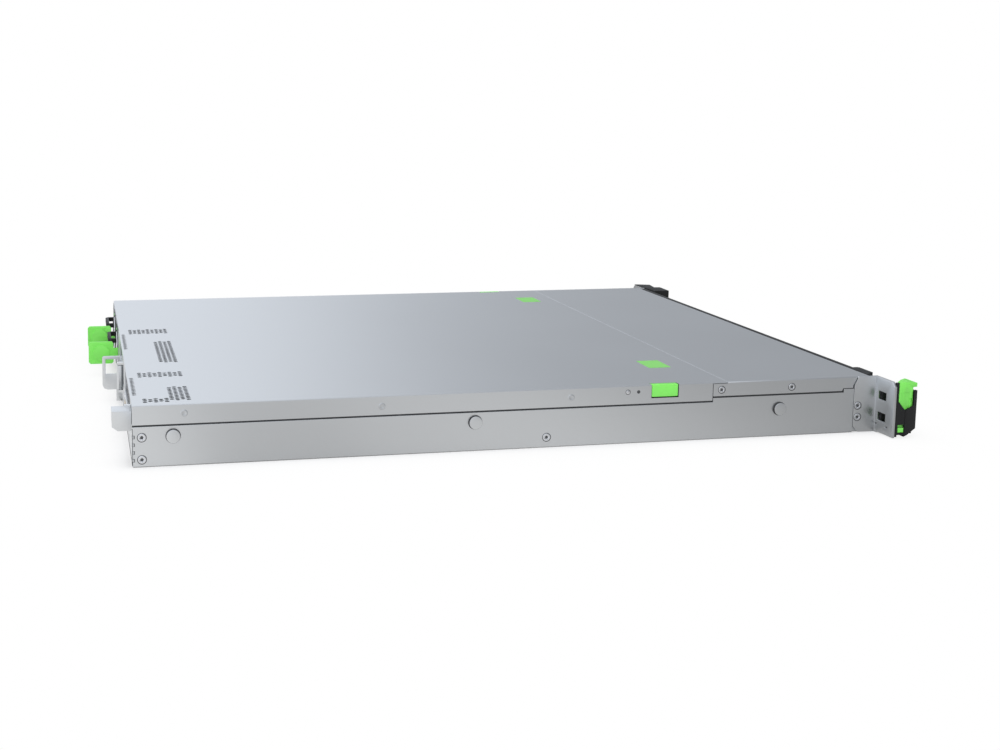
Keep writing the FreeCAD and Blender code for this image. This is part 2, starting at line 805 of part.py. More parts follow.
def make_far_ear_lever():
    """Right release lever: a plain narrow pad that ends under the hood."""
    lever = joined(lever_core(far_lever_top_z))
    return mirrored(drilled(lever, [lever_bore()]))


# Drive bays
def make_drive_cage():
    """Dividers with ledges for the carriers, under a top plate with stiffening slots."""
    y0 = bezel_back_y + 1
    outer_x = bay_count * bay_pitch / 2 + bay_wall / 2
    top = block(-outer_x, outer_x, y0, bay_end_y, bay_top_z, bay_top_z + bay_wall)
    pieces = [top]
    for i in range(bay_count + 1):
        x = (i - bay_count / 2) * bay_pitch
        pieces.append(block(x - bay_wall / 2, x + bay_wall / 2, y0, bay_end_y, sheet, bay_top_z))
        left = x - bay_ledge if i > 0 else x
        right = x + bay_ledge if i < bay_count else x
        pieces.append(block(left, right, y0, bay_end_y, sheet, sheet + bay_wall))
    cage = joined(pieces)
    slots = []
    for x in bay_centres_x:
        for side in (-1, 1):
            middle = x + side * bay_pitch / 5
            slots.append(block(middle - 9, middle + 9, y0 + 30, bay_end_y - 30,
                               bay_top_z - 1, bay_top_z + bay_wall + 1))
    return drilled(cage, slots)


def make_carrier(x):
    """One drive carrier: a bezel with a finger window and two side rails."""
    half = bay_pitch / 2 - bezel_margin
    bezel = block(x - half, x + half, bezel_front_y, bezel_back_y, bezel_low_z, bezel_high_z)
    hollow = block(x - half + 2, x + half - 2, bezel_front_y + 2, bezel_back_y + 1,
                   bezel_low_z + 2, bezel_high_z - 2)
    recess = block(x + lever_hinge_x - 3.2, x + lever_hinge_x + carrier_lever_length + 1,
                   bezel_front_y - 1, bezel_front_y + 1.2,
                   carrier_lever_z - carrier_lever_height / 2 - 3.2,
                   carrier_lever_z + carrier_lever_height / 2 + 3.2)
    free_x = x + lever_hinge_x + carrier_lever_length
    window = block(free_x + finger_window[0], free_x + finger_window[1], bezel_front_y - 1,
                   bezel_front_y + 3, finger_window_z[0], finger_window_z[1])
    bezel = drilled(bezel, [hollow, recess, window])
    rail_x = x + drive_width / 2 + 0.2
    rail = block(rail_x, rail_x + rail_thick, bezel_back_y - 3, rail_y_end,
                 drive_z - 0.6, drive_z - 0.6 + rail_height)
    other = block(2 * x - rail_x - rail_thick, 2 * x - rail_x, bezel_back_y - 3, rail_y_end,
                  drive_z - 0.6, drive_z - 0.6 + rail_height)
    lip = block(x - drive_width / 2 - 0.2 - rail_thick, x + drive_width / 2 + 0.2 + rail_thick,
                rail_y_end - 12, rail_y_end - 2, drive_z - 0.6 - 0.2, drive_z - 0.2)
    hinge_x = x + lever_hinge_x
    pin_y = bezel_front_y - 1.0
    ear_z = carrier_lever_height / 2 + 0.3
    lugs = []
    for low in (carrier_lever_z - ear_z - 2.2, carrier_lever_z + ear_z):
        lugs.append(block(hinge_x - 1.9, hinge_x + 1.9, pin_y - 1.9, bezel_front_y + 1.3, low, low + 2.2))
    pin = post(carrier_pin_radius, hinge_x, pin_y, carrier_lever_z - ear_z - 1, 2 * ear_z + 2, Z_AXIS)
    return joined([bezel, rail, other, lip, pin] + lugs)


def make_drive(x):
    """A 3.5-inch drive: a cast shell with its cover step and the connector notch at the back."""
    half = drive_width / 2
    body = block(x - half, x + half, drive_y, drive_y + drive_length, drive_z, drive_z + drive_height)
    step = block(x - half - 1, x + half + 1, drive_y + drive_length - 14, drive_y + drive_length + 1,
                 drive_z + drive_height - 3.5, drive_z + drive_height + 1)
    hollow = block(x - half + drive_shell, x + half - drive_shell, drive_y + drive_shell,
                   drive_y + drive_length - 20, drive_z + drive_shell, drive_z + drive_height - drive_shell)
    socket = block(x - 38, x - 5, drive_y + drive_length - 8, drive_y + drive_length + 1,
                   drive_z + 2, drive_z + 8)
    return drilled(body, [step, hollow, socket])


def make_carrier_lever(x):
    """The lever on a carrier's face, with its knuckle round the pin and a finger lip."""
    hinge_x = x + lever_hinge_x
    pin_y = bezel_front_y - 1.0
    low = carrier_lever_z - carrier_lever_height / 2
    high = carrier_lever_z + carrier_lever_height / 2
    face_y = pin_y - carrier_knuckle_radius
    arm = block(hinge_x, hinge_x + carrier_lever_length, face_y, face_y + carrier_lever_thick, low, high)
    end_x = hinge_x + carrier_lever_length
    lip = block(end_x - 6, end_x, face_y - 1.6, face_y + carrier_lever_thick, low, high)
    knuckle = post(carrier_knuckle_radius, hinge_x, pin_y, low, high - low, Z_AXIS)
    bore = post(carrier_pin_radius + 0.25, hinge_x, pin_y, low - 1, high - low + 2, Z_AXIS)
    return drilled(joined([arm, lip, knuckle]), [bore])


def make_front_strip():
    """The black strip above the bays: vents, two service ports and two button holes."""
    width = housing_inner_x - 1.0
    strip = block(-width, width, 0.0, strip_thick, strip_low_z, body_height - 0.2)
    bump = block(-half_width + bump_in[0], -half_width + bump_in[1], -bump_out, 1.0,
                 housing_top_z + 0.5, body_height - 0.2)
    bump = bevelled(bump, 1.5, Z_AXIS)
    strip = joined([strip, bump])
    tools = [block(-width + 2, width - 2, 1.6, strip_thick + 1, strip_low_z + 1.4, body_height - 2)]
    count = int((2 * strip_vent_end_x) / strip_vent_pitch)
    for i in range(count):
        x = -strip_vent_end_x - 40 + i * strip_vent_pitch
        tools.append(block(x, x + strip_vent_width, -1, 3, strip_z - strip_vent_height / 2,
                           strip_z + strip_vent_height / 2))
    for x in usb_places_x:
        tools.append(block(x - usb_width / 2, x + usb_width / 2, -1, 3,
                           strip_z - usb_height / 2, strip_z + usb_height / 2))
    tools.append(post(power_button_radius + 0.3, power_button_x, -1, strip_z, 4, Y_AXIS, 12))
    tools.append(post(id_button_radius + 0.3, id_button_x, -1, strip_z, 4, Y_AXIS, 12))
    return drilled(strip, tools)


def make_control_board():
    """Small board behind the strip with the two service sockets."""
    low = strip_low_z + 1.6
    board = block(usb_places_x[0] - 12, id_button_x + 8, control_board_y, control_board_y + board_thick,
                  low, body_height - 2.4)
    bracket = block(usb_places_x[0] - 12, id_button_x + 8, control_board_y + board_thick,
                    control_board_y + 12, bay_top_z + bay_wall, low + 1.2)
    pieces = [joined([board, bracket])]
    for x in usb_places_x:
        shell = block(x - usb_width / 2 + 0.2, x + usb_width / 2 - 0.2, 0.3, control_board_y,
                      strip_z - usb_height / 2 + 0.2, strip_z + usb_height / 2 - 0.2)
        mouth = block(x - usb_width / 2 + 0.8, x + usb_width / 2 - 0.8, 0, control_board_y - 1,
                      strip_z - usb_height / 2 + 0.8, strip_z + usb_height / 2 - 0.8)
        tongue = block(x - usb_width / 2 + 1.6, x + usb_width / 2 - 1.6, 1.5, control_board_y,
                       strip_z + 0.2, strip_z + 1.4)
        pieces.append(joined([shell.cut(mouth), tongue]))
    return pieces


def make_button(x, radius):
    """A round button whose collar keeps it behind the strip."""
    front = -button_stand
    cap = post(radius, x, front, strip_z, button_stand + 2.2, Y_AXIS, 12)
    collar = post(radius + 0.6, x, 2.0, strip_z, 1.0, Y_AXIS)
    stem = post(1.2, x, 2.5, strip_z, control_board_y - button_travel - 0.4 - 2.5, Y_AXIS, 6)
    return joined([cap, collar, stem])


def make_backplane():
    """The board that the drives plug into, with air windows and one connector per bay."""
    half = half_width - backplane_inset
    board = block(-half, half, backplane_y, backplane_y + board_thick, backplane_low_z, backplane_high_z)
    tools = []
    for x in bay_centres_x:
        tools.append(block(x + 8, x + 44, backplane_y - 1, backplane_y + 3, 6.0, 26.0))
        tools.append(block(x - 44, x + 2, backplane_y - 1, backplane_y + 3, 20.0, 27.0))
    board = drilled(board, tools)
    pieces = [board]
    for x in bay_centres_x:
        body = block(x - 37, x - 6, drive_y + drive_length - 5, backplane_y, drive_z + 3.2, drive_z + 6.8)
        wide = block(x - 40, x - 3, drive_y + drive_length + 0.6, backplane_y, drive_z + 1.0, drive_z + 9.0)
        pieces.append(joined([body, wide]))
    stays = [block(side * half, side * (half - 8), backplane_y - 0.8, backplane_y, sheet, backplane_high_z)
             for side in (-1, 1)]
    feet = [block(side * half, side * (half - 8), bay_end_y + 0.3, backplane_y, sheet, sheet + 0.8)
            for side in (-1, 1)]
    pieces.append(joined([stays[0], feet[0]]))
    pieces.append(joined([stays[1], feet[1]]))
    return pieces


# Fans
def make_fan_frame(x):
    half = fan_size / 2
    z = fan_low_z + half
    frame = block(x - half, x + half, fan_y, fan_y + fan_depth, fan_low_z, fan_low_z + fan_size - 0.6)
    bore = post(fan_bore_radius, x, fan_y - 1, z, fan_depth + 2, Y_AXIS, 12)
    frame = frame.cut(bore)
    seat_y = fan_y + fan_depth - 3
    seat = post(fan_hub_radius, x, seat_y, z, 3, Y_AXIS)
    struts = [block(x - half + 1, x + half - 1, seat_y, seat_y + 3,
                    z - fan_strut_width / 2, z + fan_strut_width / 2),
              block(x - fan_strut_width / 2, x + fan_strut_width / 2, seat_y, seat_y + 3,
                    z - half + 1, z + half - 1.6)]
    shaft = post(1.2, x, seat_y - 6, z, 7, Y_AXIS, 6)
    return joined([frame, seat, shaft] + struts)


def make_fan_rotor(x):
    """Hub with pitched blades on the fan's own shaft."""
    z = fan_low_z + fan_size / 2
    seat_y = fan_y + fan_depth - 3 - 0.5
    hub_y = fan_y + 3
    hub = post(fan_hub_radius, x, hub_y, z, seat_y - hub_y, Y_AXIS)
    blades = []
    for i in range(fan_blade_count):
        blade = block(fan_hub_radius - 1.5, fan_blade_radius - 1.7, -9, 9, -0.7, 0.7)
        blade.rotate(Vector(0, 0, 0), X_AXIS, 38)
        blade.rotate(Vector(0, 0, 0), Y_AXIS, i * 360 / fan_blade_count)
        blade.translate(Vector(x, (hub_y + seat_y) / 2, z))
        blades.append(blade)
    return drilled(joined([hub] + blades), [post(1.7, x, hub_y + 3, z, fan_depth, Y_AXIS, 6)])


def make_fan_holder():
    """A folded tray: a front wall with a round window per fan, cheeks and a foot."""
    front_y = fan_y - running_gap - holder_thick
    half = wall_inner_x - 1.5
    half = min(half, upper_inner_x - 0.4)
    wall = block(-half, half, front_y, front_y + holder_thick, sheet, holder_height)
    foot = block(-half, half, front_y - 6, front_y + holder_thick, sheet, sheet + holder_thick * 0.4)
    pieces = [wall, foot]
    for x in fan_centres_x:
        for side in (-1, 1):
            inner = x + side * (fan_size / 2 + running_gap)
            outer = inner + side * holder_thick
            pieces.append(block(inner, outer, front_y, fan_y + fan_depth, sheet, holder_height - 4))
    holder = joined(pieces)
    tools = []
    for x in fan_centres_x:
        tools.append(post(fan_bore_radius, x, front_y - 1, fan_low_z + fan_size / 2, 3, Y_AXIS, 12))
    first = fan_centres_x[-1] + fan_size / 2 + 12
    count = int((half - 8 - first) / 28)
    for i in range(count):
        left = first + i * 28
        tools.append(block(left, left + 22, front_y - 1, front_y + 2, 6, 36))
    return drilled(holder, tools)


# Main board
def make_motherboard():
    board = block(board_x0, board_x1, board_y0, board_y1, board_z, board_top_z)
    corner = block(board_x1 - 20, board_x1 + 1, board_y0 - 1, board_y0 + 40, board_z - 1, board_top_z + 1)
    return [board.cut(corner)]


def make_board_parts():
    """Soldered parts: processor socket, chip cooler, coils, capacitors and connectors."""
    z = board_top_z
    pieces = [block(sink_x - 32, sink_x + 32, sink_y - 34, sink_y + 34, z, sink_base_z)]
    chip_x = board_x1 - 82
    chip_y = board_y0 + 206
    cooler = [block(chip_x, chip_x + 38, chip_y, chip_y + 38, z, z + 3)]
    for i in range(8):
        left = chip_x + i * 5.2
        cooler.append(block(left, left + 1.4, chip_y, chip_y + 38, z + 2, z + 12))
    pieces.append(joined(cooler))
    for i in range(6):
        pieces.append(block(board_x1 - 38, board_x1 - 28, board_y0 + 38 + i * 13, board_y0 + 48 + i * 13, z, z + 7))
    for i in range(5):
        pieces.append(post(3.2, board_x1 - 17, board_y0 + 44 + i * 15, z, 9, Z_AXIS))
    for i in range(2):
        pieces.append(block(board_x1 - 28, board_x1 - 12, board_y0 + 140 + i * 22, board_y0 + 154 + i * 22, z, z + 8))
    pieces.append(block(board_x1 - 56, board_x1 - 24, board_y0 + 4, board_y0 + 12, z, z + 11))
    pieces.append(post(10, board_x0 + 62, board_y0 + 196, z, 4.2, Z_AXIS, 12))
    return pieces


def make_heatsink():
    """Passive cooler: a base and thin fins that run with the air."""
    half = sink_width / 2
    y0 = sink_y - sink_length / 2
    y1 = sink_y + sink_length / 2
    base = block(sink_x - half, sink_x + half, y0, y1, sink_base_z, sink_base_z + sink_base_thick)
    fins = []
    count = int((sink_width - 2 * sink_screw_inset) / sink_fin_pitch)
    first = sink_x - (count - 1) * sink_fin_pitch / 2
    for i in range(count):
        x = first + i * sink_fin_pitch
        fins.append(block(x - sink_fin_thick / 2, x + sink_fin_thick / 2, y0, y1,
                          sink_base_z + sink_base_thick, sink_top_z))
    return joined([base] + fins)


def sink_corners():
    places = []
    for side in (-1, 1):
        for end in (-1, 1):
            x = sink_x + side * (sink_width / 2 - 3)
            y = sink_y + end * (sink_length / 2 - sink_screw_inset)
            places.append((x, y))
    return places


def make_heatsink_screws():
    pieces = []
    for x, y in sink_corners():
        top = sink_base_z + sink_base_thick
        pieces.append(post(sink_screw_radius, x, y, top, 3.4, Z_AXIS, 6))
    return pieces


def make_memory():
    sockets = []
    modules = []
    y0 = memory_y
    y1 = memory_y + memory_length
    for x in memory_xs:
        half = memory_socket_width / 2
        socket = block(x - half, x + half, y0 - memory_socket_extra, y1 + memory_socket_extra,
                       board_top_z, board_top_z + memory_socket_height)
        groove = block(x - 0.8, x + 0.8, y0 - 0.3, y1 + 0.3, board_top_z + 2, board_top_z + 20)
        ends = [block(x - half, x + half, y0 - memory_socket_extra, y0 - 0.6,
                      board_top_z + 2, board_top_z + 20),
                block(x - half, x + half, y1 + 0.6, y1 + memory_socket_extra,
                      board_top_z + 2, board_top_z + 20)]
        sockets.append(joined([socket.cut(groove)] + ends))
        card = block(x - 0.7, x + 0.7, y0, y1, board_top_z + 2.2, board_top_z + 2.2 + memory_height)
        modules.append(card)
        for i in range(4):
            left = y0 + 6 + i * 31
            modules.append(block(x + 0.7, x + 1.8, left, left + 24, board_top_z + 12, board_top_z + 24))
    return sockets, modules


def make_shroud():
    """Air duct from the fans over the processor cooler."""
    low = board_top_z + 0.3
    left = block(shroud_x0, shroud_x0 + shroud_thick, shroud_y0, shroud_y1, low, shroud_top_z)
    right = block(shroud_x1 - shroud_thick, shroud_x1, shroud_y0, shroud_y1, low, shroud_top_z)
    top = block(shroud_x0, shroud_x1, shroud_y0, shroud_y1, shroud_top_z - shroud_thick, shroud_top_z)
    window = block(sink_x - 30, sink_x + 30, shroud_y1 - 40, shroud_y1 + 1,
                   shroud_top_z - 3, shroud_top_z + 1)
    return joined([left, right, top]).cut(window)


# Rear
def port_places():
    """Each port's left, right, low and high edges in the rear plane."""
    places = []
    for x, width, height in port_list:
        low = board_top_z + port_lift
        places.append((across(x - width / 2), across(x + width / 2), low, low + height))
    return places


def make_rear_panel():
    y0 = rear_y - sheet
    plate = block(-upper_inner_x, panel_end_x, y0, rear_y, sheet, wall_top_z)
    flange = block(-wall_inner_x, -wall_inner_x + sheet, rear_y - 14, rear_y, sheet,
                   shelf_rear_z - sheet)
    side = block(panel_end_x - sheet, panel_end_x, rear_y - 14, rear_y, sheet, wall_top_z)
    strip = block(-wall_inner_x, -upper_inner_x + 1, y0, rear_y, sheet, shelf_rear_z - sheet)
    strip = joined([strip] + finger_joints(-half_width, -wall_inner_x + 0.5, finger_joint_gap))
    panel = joined([plate, flange, strip, side] + [clamp_pins(*span) for span in clamp_spans()])
    tools = []
    for left, right, low, high in port_places():
        tools.append(block(left - port_gap, right + port_gap, y0 - 1, rear_y + 1,
                           low - port_gap, high + port_gap))
    for left, right in (slot_1_x, slot_2_x):
        tools.append(block(left, right, y0 - 1, rear_y + 1, slot_low_z, slot_high_z))
    for i in range(3):
        for j in range(2):
            left = board_x0 + 36 + i * 8
            tools.append(block(left, left + 5, y0 - 1, rear_y + 1, 6 + j * 7, 10 + j * 7))
    return drilled(panel, tools)


def make_rear_ports():
    """Metal-shelled sockets on the board's rear edge, each with an open mouth."""
    pieces = []
    for left, right, low, high in port_places():
        shell = block(left, right, rear_y - port_depth, rear_y + 0.4, low, high)
        mouth = block(left + port_wall, right - port_wall, rear_y - port_depth + 3, rear_y + 1,
                      low + port_wall, high - port_wall)
        foot = block(left + 1, right - 1, rear_y - port_depth, board_y1, board_top_z, low)
        pieces.append(joined([shell.cut(mouth), foot]))
    return pieces


def make_slot_blanks():
    """Blanking brackets behind the two card windows, with long air slots."""
    pieces = []
    back = rear_y - sheet
    for left, right in (slot_1_x, slot_2_x):
        plate = block(left - blank_lap, right + blank_lap, back - 0.9, back,
                      slot_low_z - blank_lap, slot_high_z + 0.6)
        tools = []
        step = (slot_high_z - slot_low_z) / blank_slot_count
        for i in range(blank_slot_count):
            low = slot_low_z + step * (i + 0.5) - blank_slot_height / 2
            tools.append(block(left + 5, right - 5, back - 2, back + 1, low, low + blank_slot_height))
        pieces.append(drilled(plate, tools))
    return pieces


def make_risers():
    """Two sheet cages over the card slots and the upright boards that they carry."""
    cages = []
    boards = []
    back = rear_y - sheet - 0.9 - 0.2
    front = back - riser_length
    top = wall_top_z - 0.2
    for left, right in (slot_1_x, slot_2_x):
        wall_x = right + 4
        wall = block(wall_x, wall_x + riser_wall, front, back, slot_low_z - 1.2, top)
        roof = block(left - 2, wall_x + riser_wall, front, back, top - riser_wall, top)
        lip = block(left - 2, left - 2 + riser_wall, front, back, top - 6, top)
        cages.append(joined([wall, roof, lip]))
        board = block(wall_x - board_thick, wall_x, front + 6, back - 20, board_top_z + 6, top - 3)
        card_socket = block(wall_x - board_thick - 7, wall_x - board_thick, front + 14, back - 30, 27, 34)
        base = block(wall_x - board_thick - 2.4, wall_x + 2.4, front + 14, back - 30,
                     board_top_z, board_top_z + 8)
        slot = block(wall_x - board_thick, wall_x, front + 12, back - 28,
                     board_top_z + 6, board_top_z + 9)
        boards.append(board)
        boards.append(card_socket)
        boards.append(base.cut(slot))
    return cages, boards


def clamp_pins(hinge_x, low, high):
    """The two lugs and pin that a clamp swings on, fixed to the rear panel."""
    y = rear_y + clamp_knuckle_radius + 0.4
    pin = post(clamp_pin_radius, hinge_x, y, low - 2.4, high - low + 4.8, Z_AXIS)
    lugs = [block(hinge_x - 2, hinge_x + 2, rear_y, y + 1.8, low - 2.4, low - 0.4),
            block(hinge_x - 2, hinge_x + 2, rear_y, y + 1.8, high + 0.4, high + 2.4)]
    return joined([pin] + lugs)


def clamp_spans():
    """Hinge places and heights of the two clamps."""
    first = (clamp_1_hinge_x, clamp_1_low_z + 4, clamp_1_high_z - 4)
    second = (clamp_2_hinge_x, clamp_2_low_z + 2.6, clamp_2_high_z - 2.6)
    return first, second


def make_clamp_1():
    """Clamp of the first slot: a leg on the panel and a finger plate with a window."""
    y0 = rear_y + running_gap
    pin_y = rear_y + clamp_knuckle_radius + 0.4
    hinge_x, low, high = clamp_spans()[0]
    leg = block(hinge_x, clamp_1_x, y0, y0 + clamp_thick, low, high)
    out = rear_y + clamp_out
    neck = rear_y + clamp_1_neck_out
    turn = clamp_corner * 0.3
    outline = [(y0, clamp_1_neck_z), (neck, clamp_1_neck_z), (neck, clamp_1_low_z)]
    outline += [(out - clamp_corner, clamp_1_low_z), (out - turn, clamp_1_low_z + turn)]
    outline += [(out, clamp_1_low_z + clamp_corner)]
    outline += [(out, clamp_1_high_z - 1), (out - 1, clamp_1_high_z), (y0, clamp_1_high_z)]
    plate = prism(outline, "x", clamp_1_x - clamp_thick, clamp_thick)
    window = block(clamp_1_x - 5, clamp_1_x + 5, y0 + 3.4, out - 2.6,
                   clamp_1_window_z, clamp_1_high_z - 2.6)
    knuckle = post(clamp_knuckle_radius, hinge_x, pin_y, low, high - low, Z_AXIS)
    bore = post(clamp_pin_radius + 0.3, hinge_x, pin_y, low - 1, high - low + 2, Z_AXIS)
    return drilled(joined([leg, plate, knuckle]), [window, bore])


def make_clamp_2():
    """Clamp of the second slot: a boxed finger grip at the corner of the chassis."""
    y0 = rear_y + running_gap
    pin_y = rear_y + clamp_knuckle_radius + 0.4
    hinge_x, low, high = clamp_spans()[1]
    out = rear_y + clamp_2_out
    leg = block(clamp_2_x, hinge_x, y0, y0 + clamp_thick, low, high)
    outline = [(y0, clamp_2_low_z), (out - 4, clamp_2_low_z), (out, clamp_2_low_z + 3)]
    outline += [(out, clamp_2_high_z), (y0, clamp_2_high_z)]
    plate = prism(outline, "x", clamp_2_x, clamp_thick)
    roof_end = hinge_x - clamp_knuckle_radius - 1.2
    roof = block(clamp_2_x, roof_end, y0, out, clamp_2_high_z - clamp_thick, clamp_2_high_z)
    face = block(clamp_2_x, roof_end, out - clamp_thick, out, clamp_2_low_z + 5, clamp_2_high_z)
    knuckle = post(clamp_knuckle_radius, hinge_x, pin_y, low, high - low, Z_AXIS)
    bore = post(clamp_pin_radius + 0.3, hinge_x, pin_y, low - 1, high - low + 2, Z_AXIS)
    return drilled(joined([leg, plate, roof, face, knuckle]), [bore])


# Power supplies
def make_psu_cage():
    """Divider walls between the supplies and the board space, with feet on the floor."""
    back = rear_y - 15
    front = psu_front_y - 6
    walls = [block(cage_left_x, cage_left_x + sheet, front, back, sheet, wall_top_z - 1)]
    middle = psu_left_xs[1] - psu_side_gap - sheet
    walls.append(block(middle, middle + sheet, front, back, sheet, wall_top_z - 1))
    return walls


def make_power_board():
    """Upright board that both supplies plug into, with its two sockets."""
    y = psu_front_y - 6 - board_thick - 0.2
    x0 = cage_left_x
    x1 = upper_inner_x - 0.4
    board = block(x0, x1, y, y + board_thick, sheet, 37)
    tools = []
    pieces = []
    for left in psu_left_xs:
        tools.append(block(left + 8, left + psu_width - 8, y - 1, y + 3, 18, 33))
        socket = block(left + 20, left + psu_width - 20, y + board_thick, psu_front_y - 0.4, 6, 15)
        pieces.append(socket)
    return [board.cut(Part.makeCompound(tools))] + pieces


def make_psu_case(left):
    """Steel shell with the black face, the fan grille and the slot for the lever."""
    right = left + psu_width
    face_y = rear_y + psu_face_out
    back = psu_front_y
    shell = block(left, right, back, face_y, psu_low_z, psu_top_z)
    room = block(left + psu_wall, right - psu_wall, back + psu_wall, face_y - psu_face_thick,
                 psu_low_z + psu_wall, psu_top_z - psu_wall)
    tools = [room]
    fan_z = psu_low_z + psu_height / 2
    grille = post(psu_fan_radius, left + psu_fan_x, face_y - psu_face_thick - 1, fan_z,
                  psu_face_thick + 2, Y_AXIS, 16)
    bars = []
    for i in (-1, 1):
        z = fan_z + i * psu_fan_radius / 3
        bars.append(block(left + psu_fan_x - psu_fan_radius - 1, left + psu_fan_x + psu_fan_radius + 1,
                          face_y - psu_face_thick - 2, face_y + 1,
                          z - psu_grille_bar / 2, z + psu_grille_bar / 2))
    bars.append(block(left + psu_fan_x - psu_grille_bar / 2, left + psu_fan_x + psu_grille_bar / 2,
                      face_y - psu_face_thick - 2, face_y + 1, fan_z - 30, fan_z + 30))
    tools.append(grille.cut(Part.makeCompound(bars)))
    tools.append(block(left + inlet_x - inlet_width / 2, left + inlet_x + inlet_width / 2,
                       face_y - psu_face_thick - 1, face_y + 1,
                       inlet_z - inlet_height / 2 + 1, inlet_z + inlet_height / 2 + 1))
    stem_z = (psu_grip_z0 + psu_grip_z1) / 2
    tools.append(block(left + psu_lever_x - psu_lever_thick / 2 - 0.6,
                       left + psu_lever_x + psu_lever_thick / 2 + 1.4,
                       face_y - psu_face_thick - 1, face_y + 1,
                       stem_z - psu_stem_height / 2 - 0.4, stem_z + psu_stem_height / 2 + 0.4))
    for i in range(3):
        x = left + 10 + i * 18.6
        tools.append(block(x, x + 15, back - 1, back + 2, 20, 34))
    case = drilled(shell, tools)
    pivot_y = rear_y - psu_pivot_in
    pivot = post(psu_pivot_radius, left + psu_lever_x, pivot_y, psu_low_z + 0.4,
                 psu_height - 0.8, Z_AXIS)
    bail = block(left + bail_x0, left + bail_x1, face_y - 0.5, rear_y + bail_out,
                 bail_z, bail_z + bail_thick)
    bail = bail.cut(block(left + bail_x0 + bail_bar, left + bail_x1 - bail_bar, face_y - 1,
                          rear_y + bail_out - bail_bar, bail_z - 1, bail_z + bail_thick + 1))
    corners = []
    for edge in bail.Edges:
        middle = edge.CenterOfMass
        upright = abs(edge.Vertexes[0].Point.z - edge.Vertexes[1].Point.z) > bail_thick / 2
        if upright and abs(middle.y - rear_y - bail_out) < 0.01:
            corners.append(edge)
    bail = bail.makeChamfer(bail_bar, corners)
    return joined([case, pivot, bail])


def make_psu_inlet(left):
    """The C14 mains inlet: shell with its keyed mouth and three pins."""
    x = left + inlet_x
    z = inlet_z + 1
    face_y = rear_y + psu_face_out + inlet_out
    body = block(x - inlet_width / 2, x + inlet_width / 2, face_y - inlet_depth, face_y,
                 z - inlet_height / 2, z + inlet_height / 2)
    half_w = inlet_mouth_width / 2
    half_h = inlet_mouth_height / 2
    outline = [(x - half_w, z - half_h), (x + half_w, z - half_h)]
    outline += [(x + half_w, z + half_h - inlet_corner), (x + half_w - inlet_corner, z + half_h)]
    outline += [(x - half_w + inlet_corner, z + half_h), (x - half_w, z + half_h - inlet_corner)]
    mouth = prism(outline, "y", face_y - inlet_mouth_depth, inlet_mouth_depth + 1)
    body = body.cut(mouth)
    pins = []
    for step, rise in ((-1, -1.5), (0, 2.5), (1, -1.5)):
        px = x + step * inlet_pin_pitch
        pins.append(block(px - inlet_pin_width / 2, px + inlet_pin_width / 2,
                          face_y - inlet_mouth_depth - 1,
                          face_y - inlet_mouth_depth + inlet_pin_length,
                          z + rise - inlet_pin_height / 2, z + rise + inlet_pin_height / 2))
    return joined([body] + pins)


def make_psu_lever(left):
    """Green release grip on a stem that turns a little on its pivot."""
    x = left + psu_lever_x
    half = psu_lever_thick / 2
    stem_z = (psu_grip_z0 + psu_grip_z1) / 2
    grip = block(x - half, x + half, rear_y + psu_grip_y0, rear_y + psu_grip_y1,
                 psu_grip_z0, psu_grip_z1)
    grip = bevelled(grip, psu_grip_bevel, X_AXIS)
    pivot_y = rear_y - psu_pivot_in
    stem = block(x - half, x + half, pivot_y, rear_y + psu_grip_y0 + 1,
                 stem_z - psu_stem_height / 2, stem_z + psu_stem_height / 2)
    knuckle = post(psu_pivot_radius + 1.2, x, pivot_y, stem_z - psu_stem_height / 2,
                   psu_stem_height, Z_AXIS)
    thumb_y = rear_y + (psu_grip_y0 + psu_grip_y1) / 2
    thumb = post(psu_thumb_radius, x - half - psu_thumb_rise, thumb_y, stem_z,
                 2 * psu_thumb_rise + psu_lever_thick, X_AXIS, 12)
    lever = joined([grip, stem, knuckle, thumb])
    bore = post(psu_pivot_radius + 0.35, x, pivot_y, stem_z - 20, 40, Z_AXIS)
    return drilled(lever, [bore])


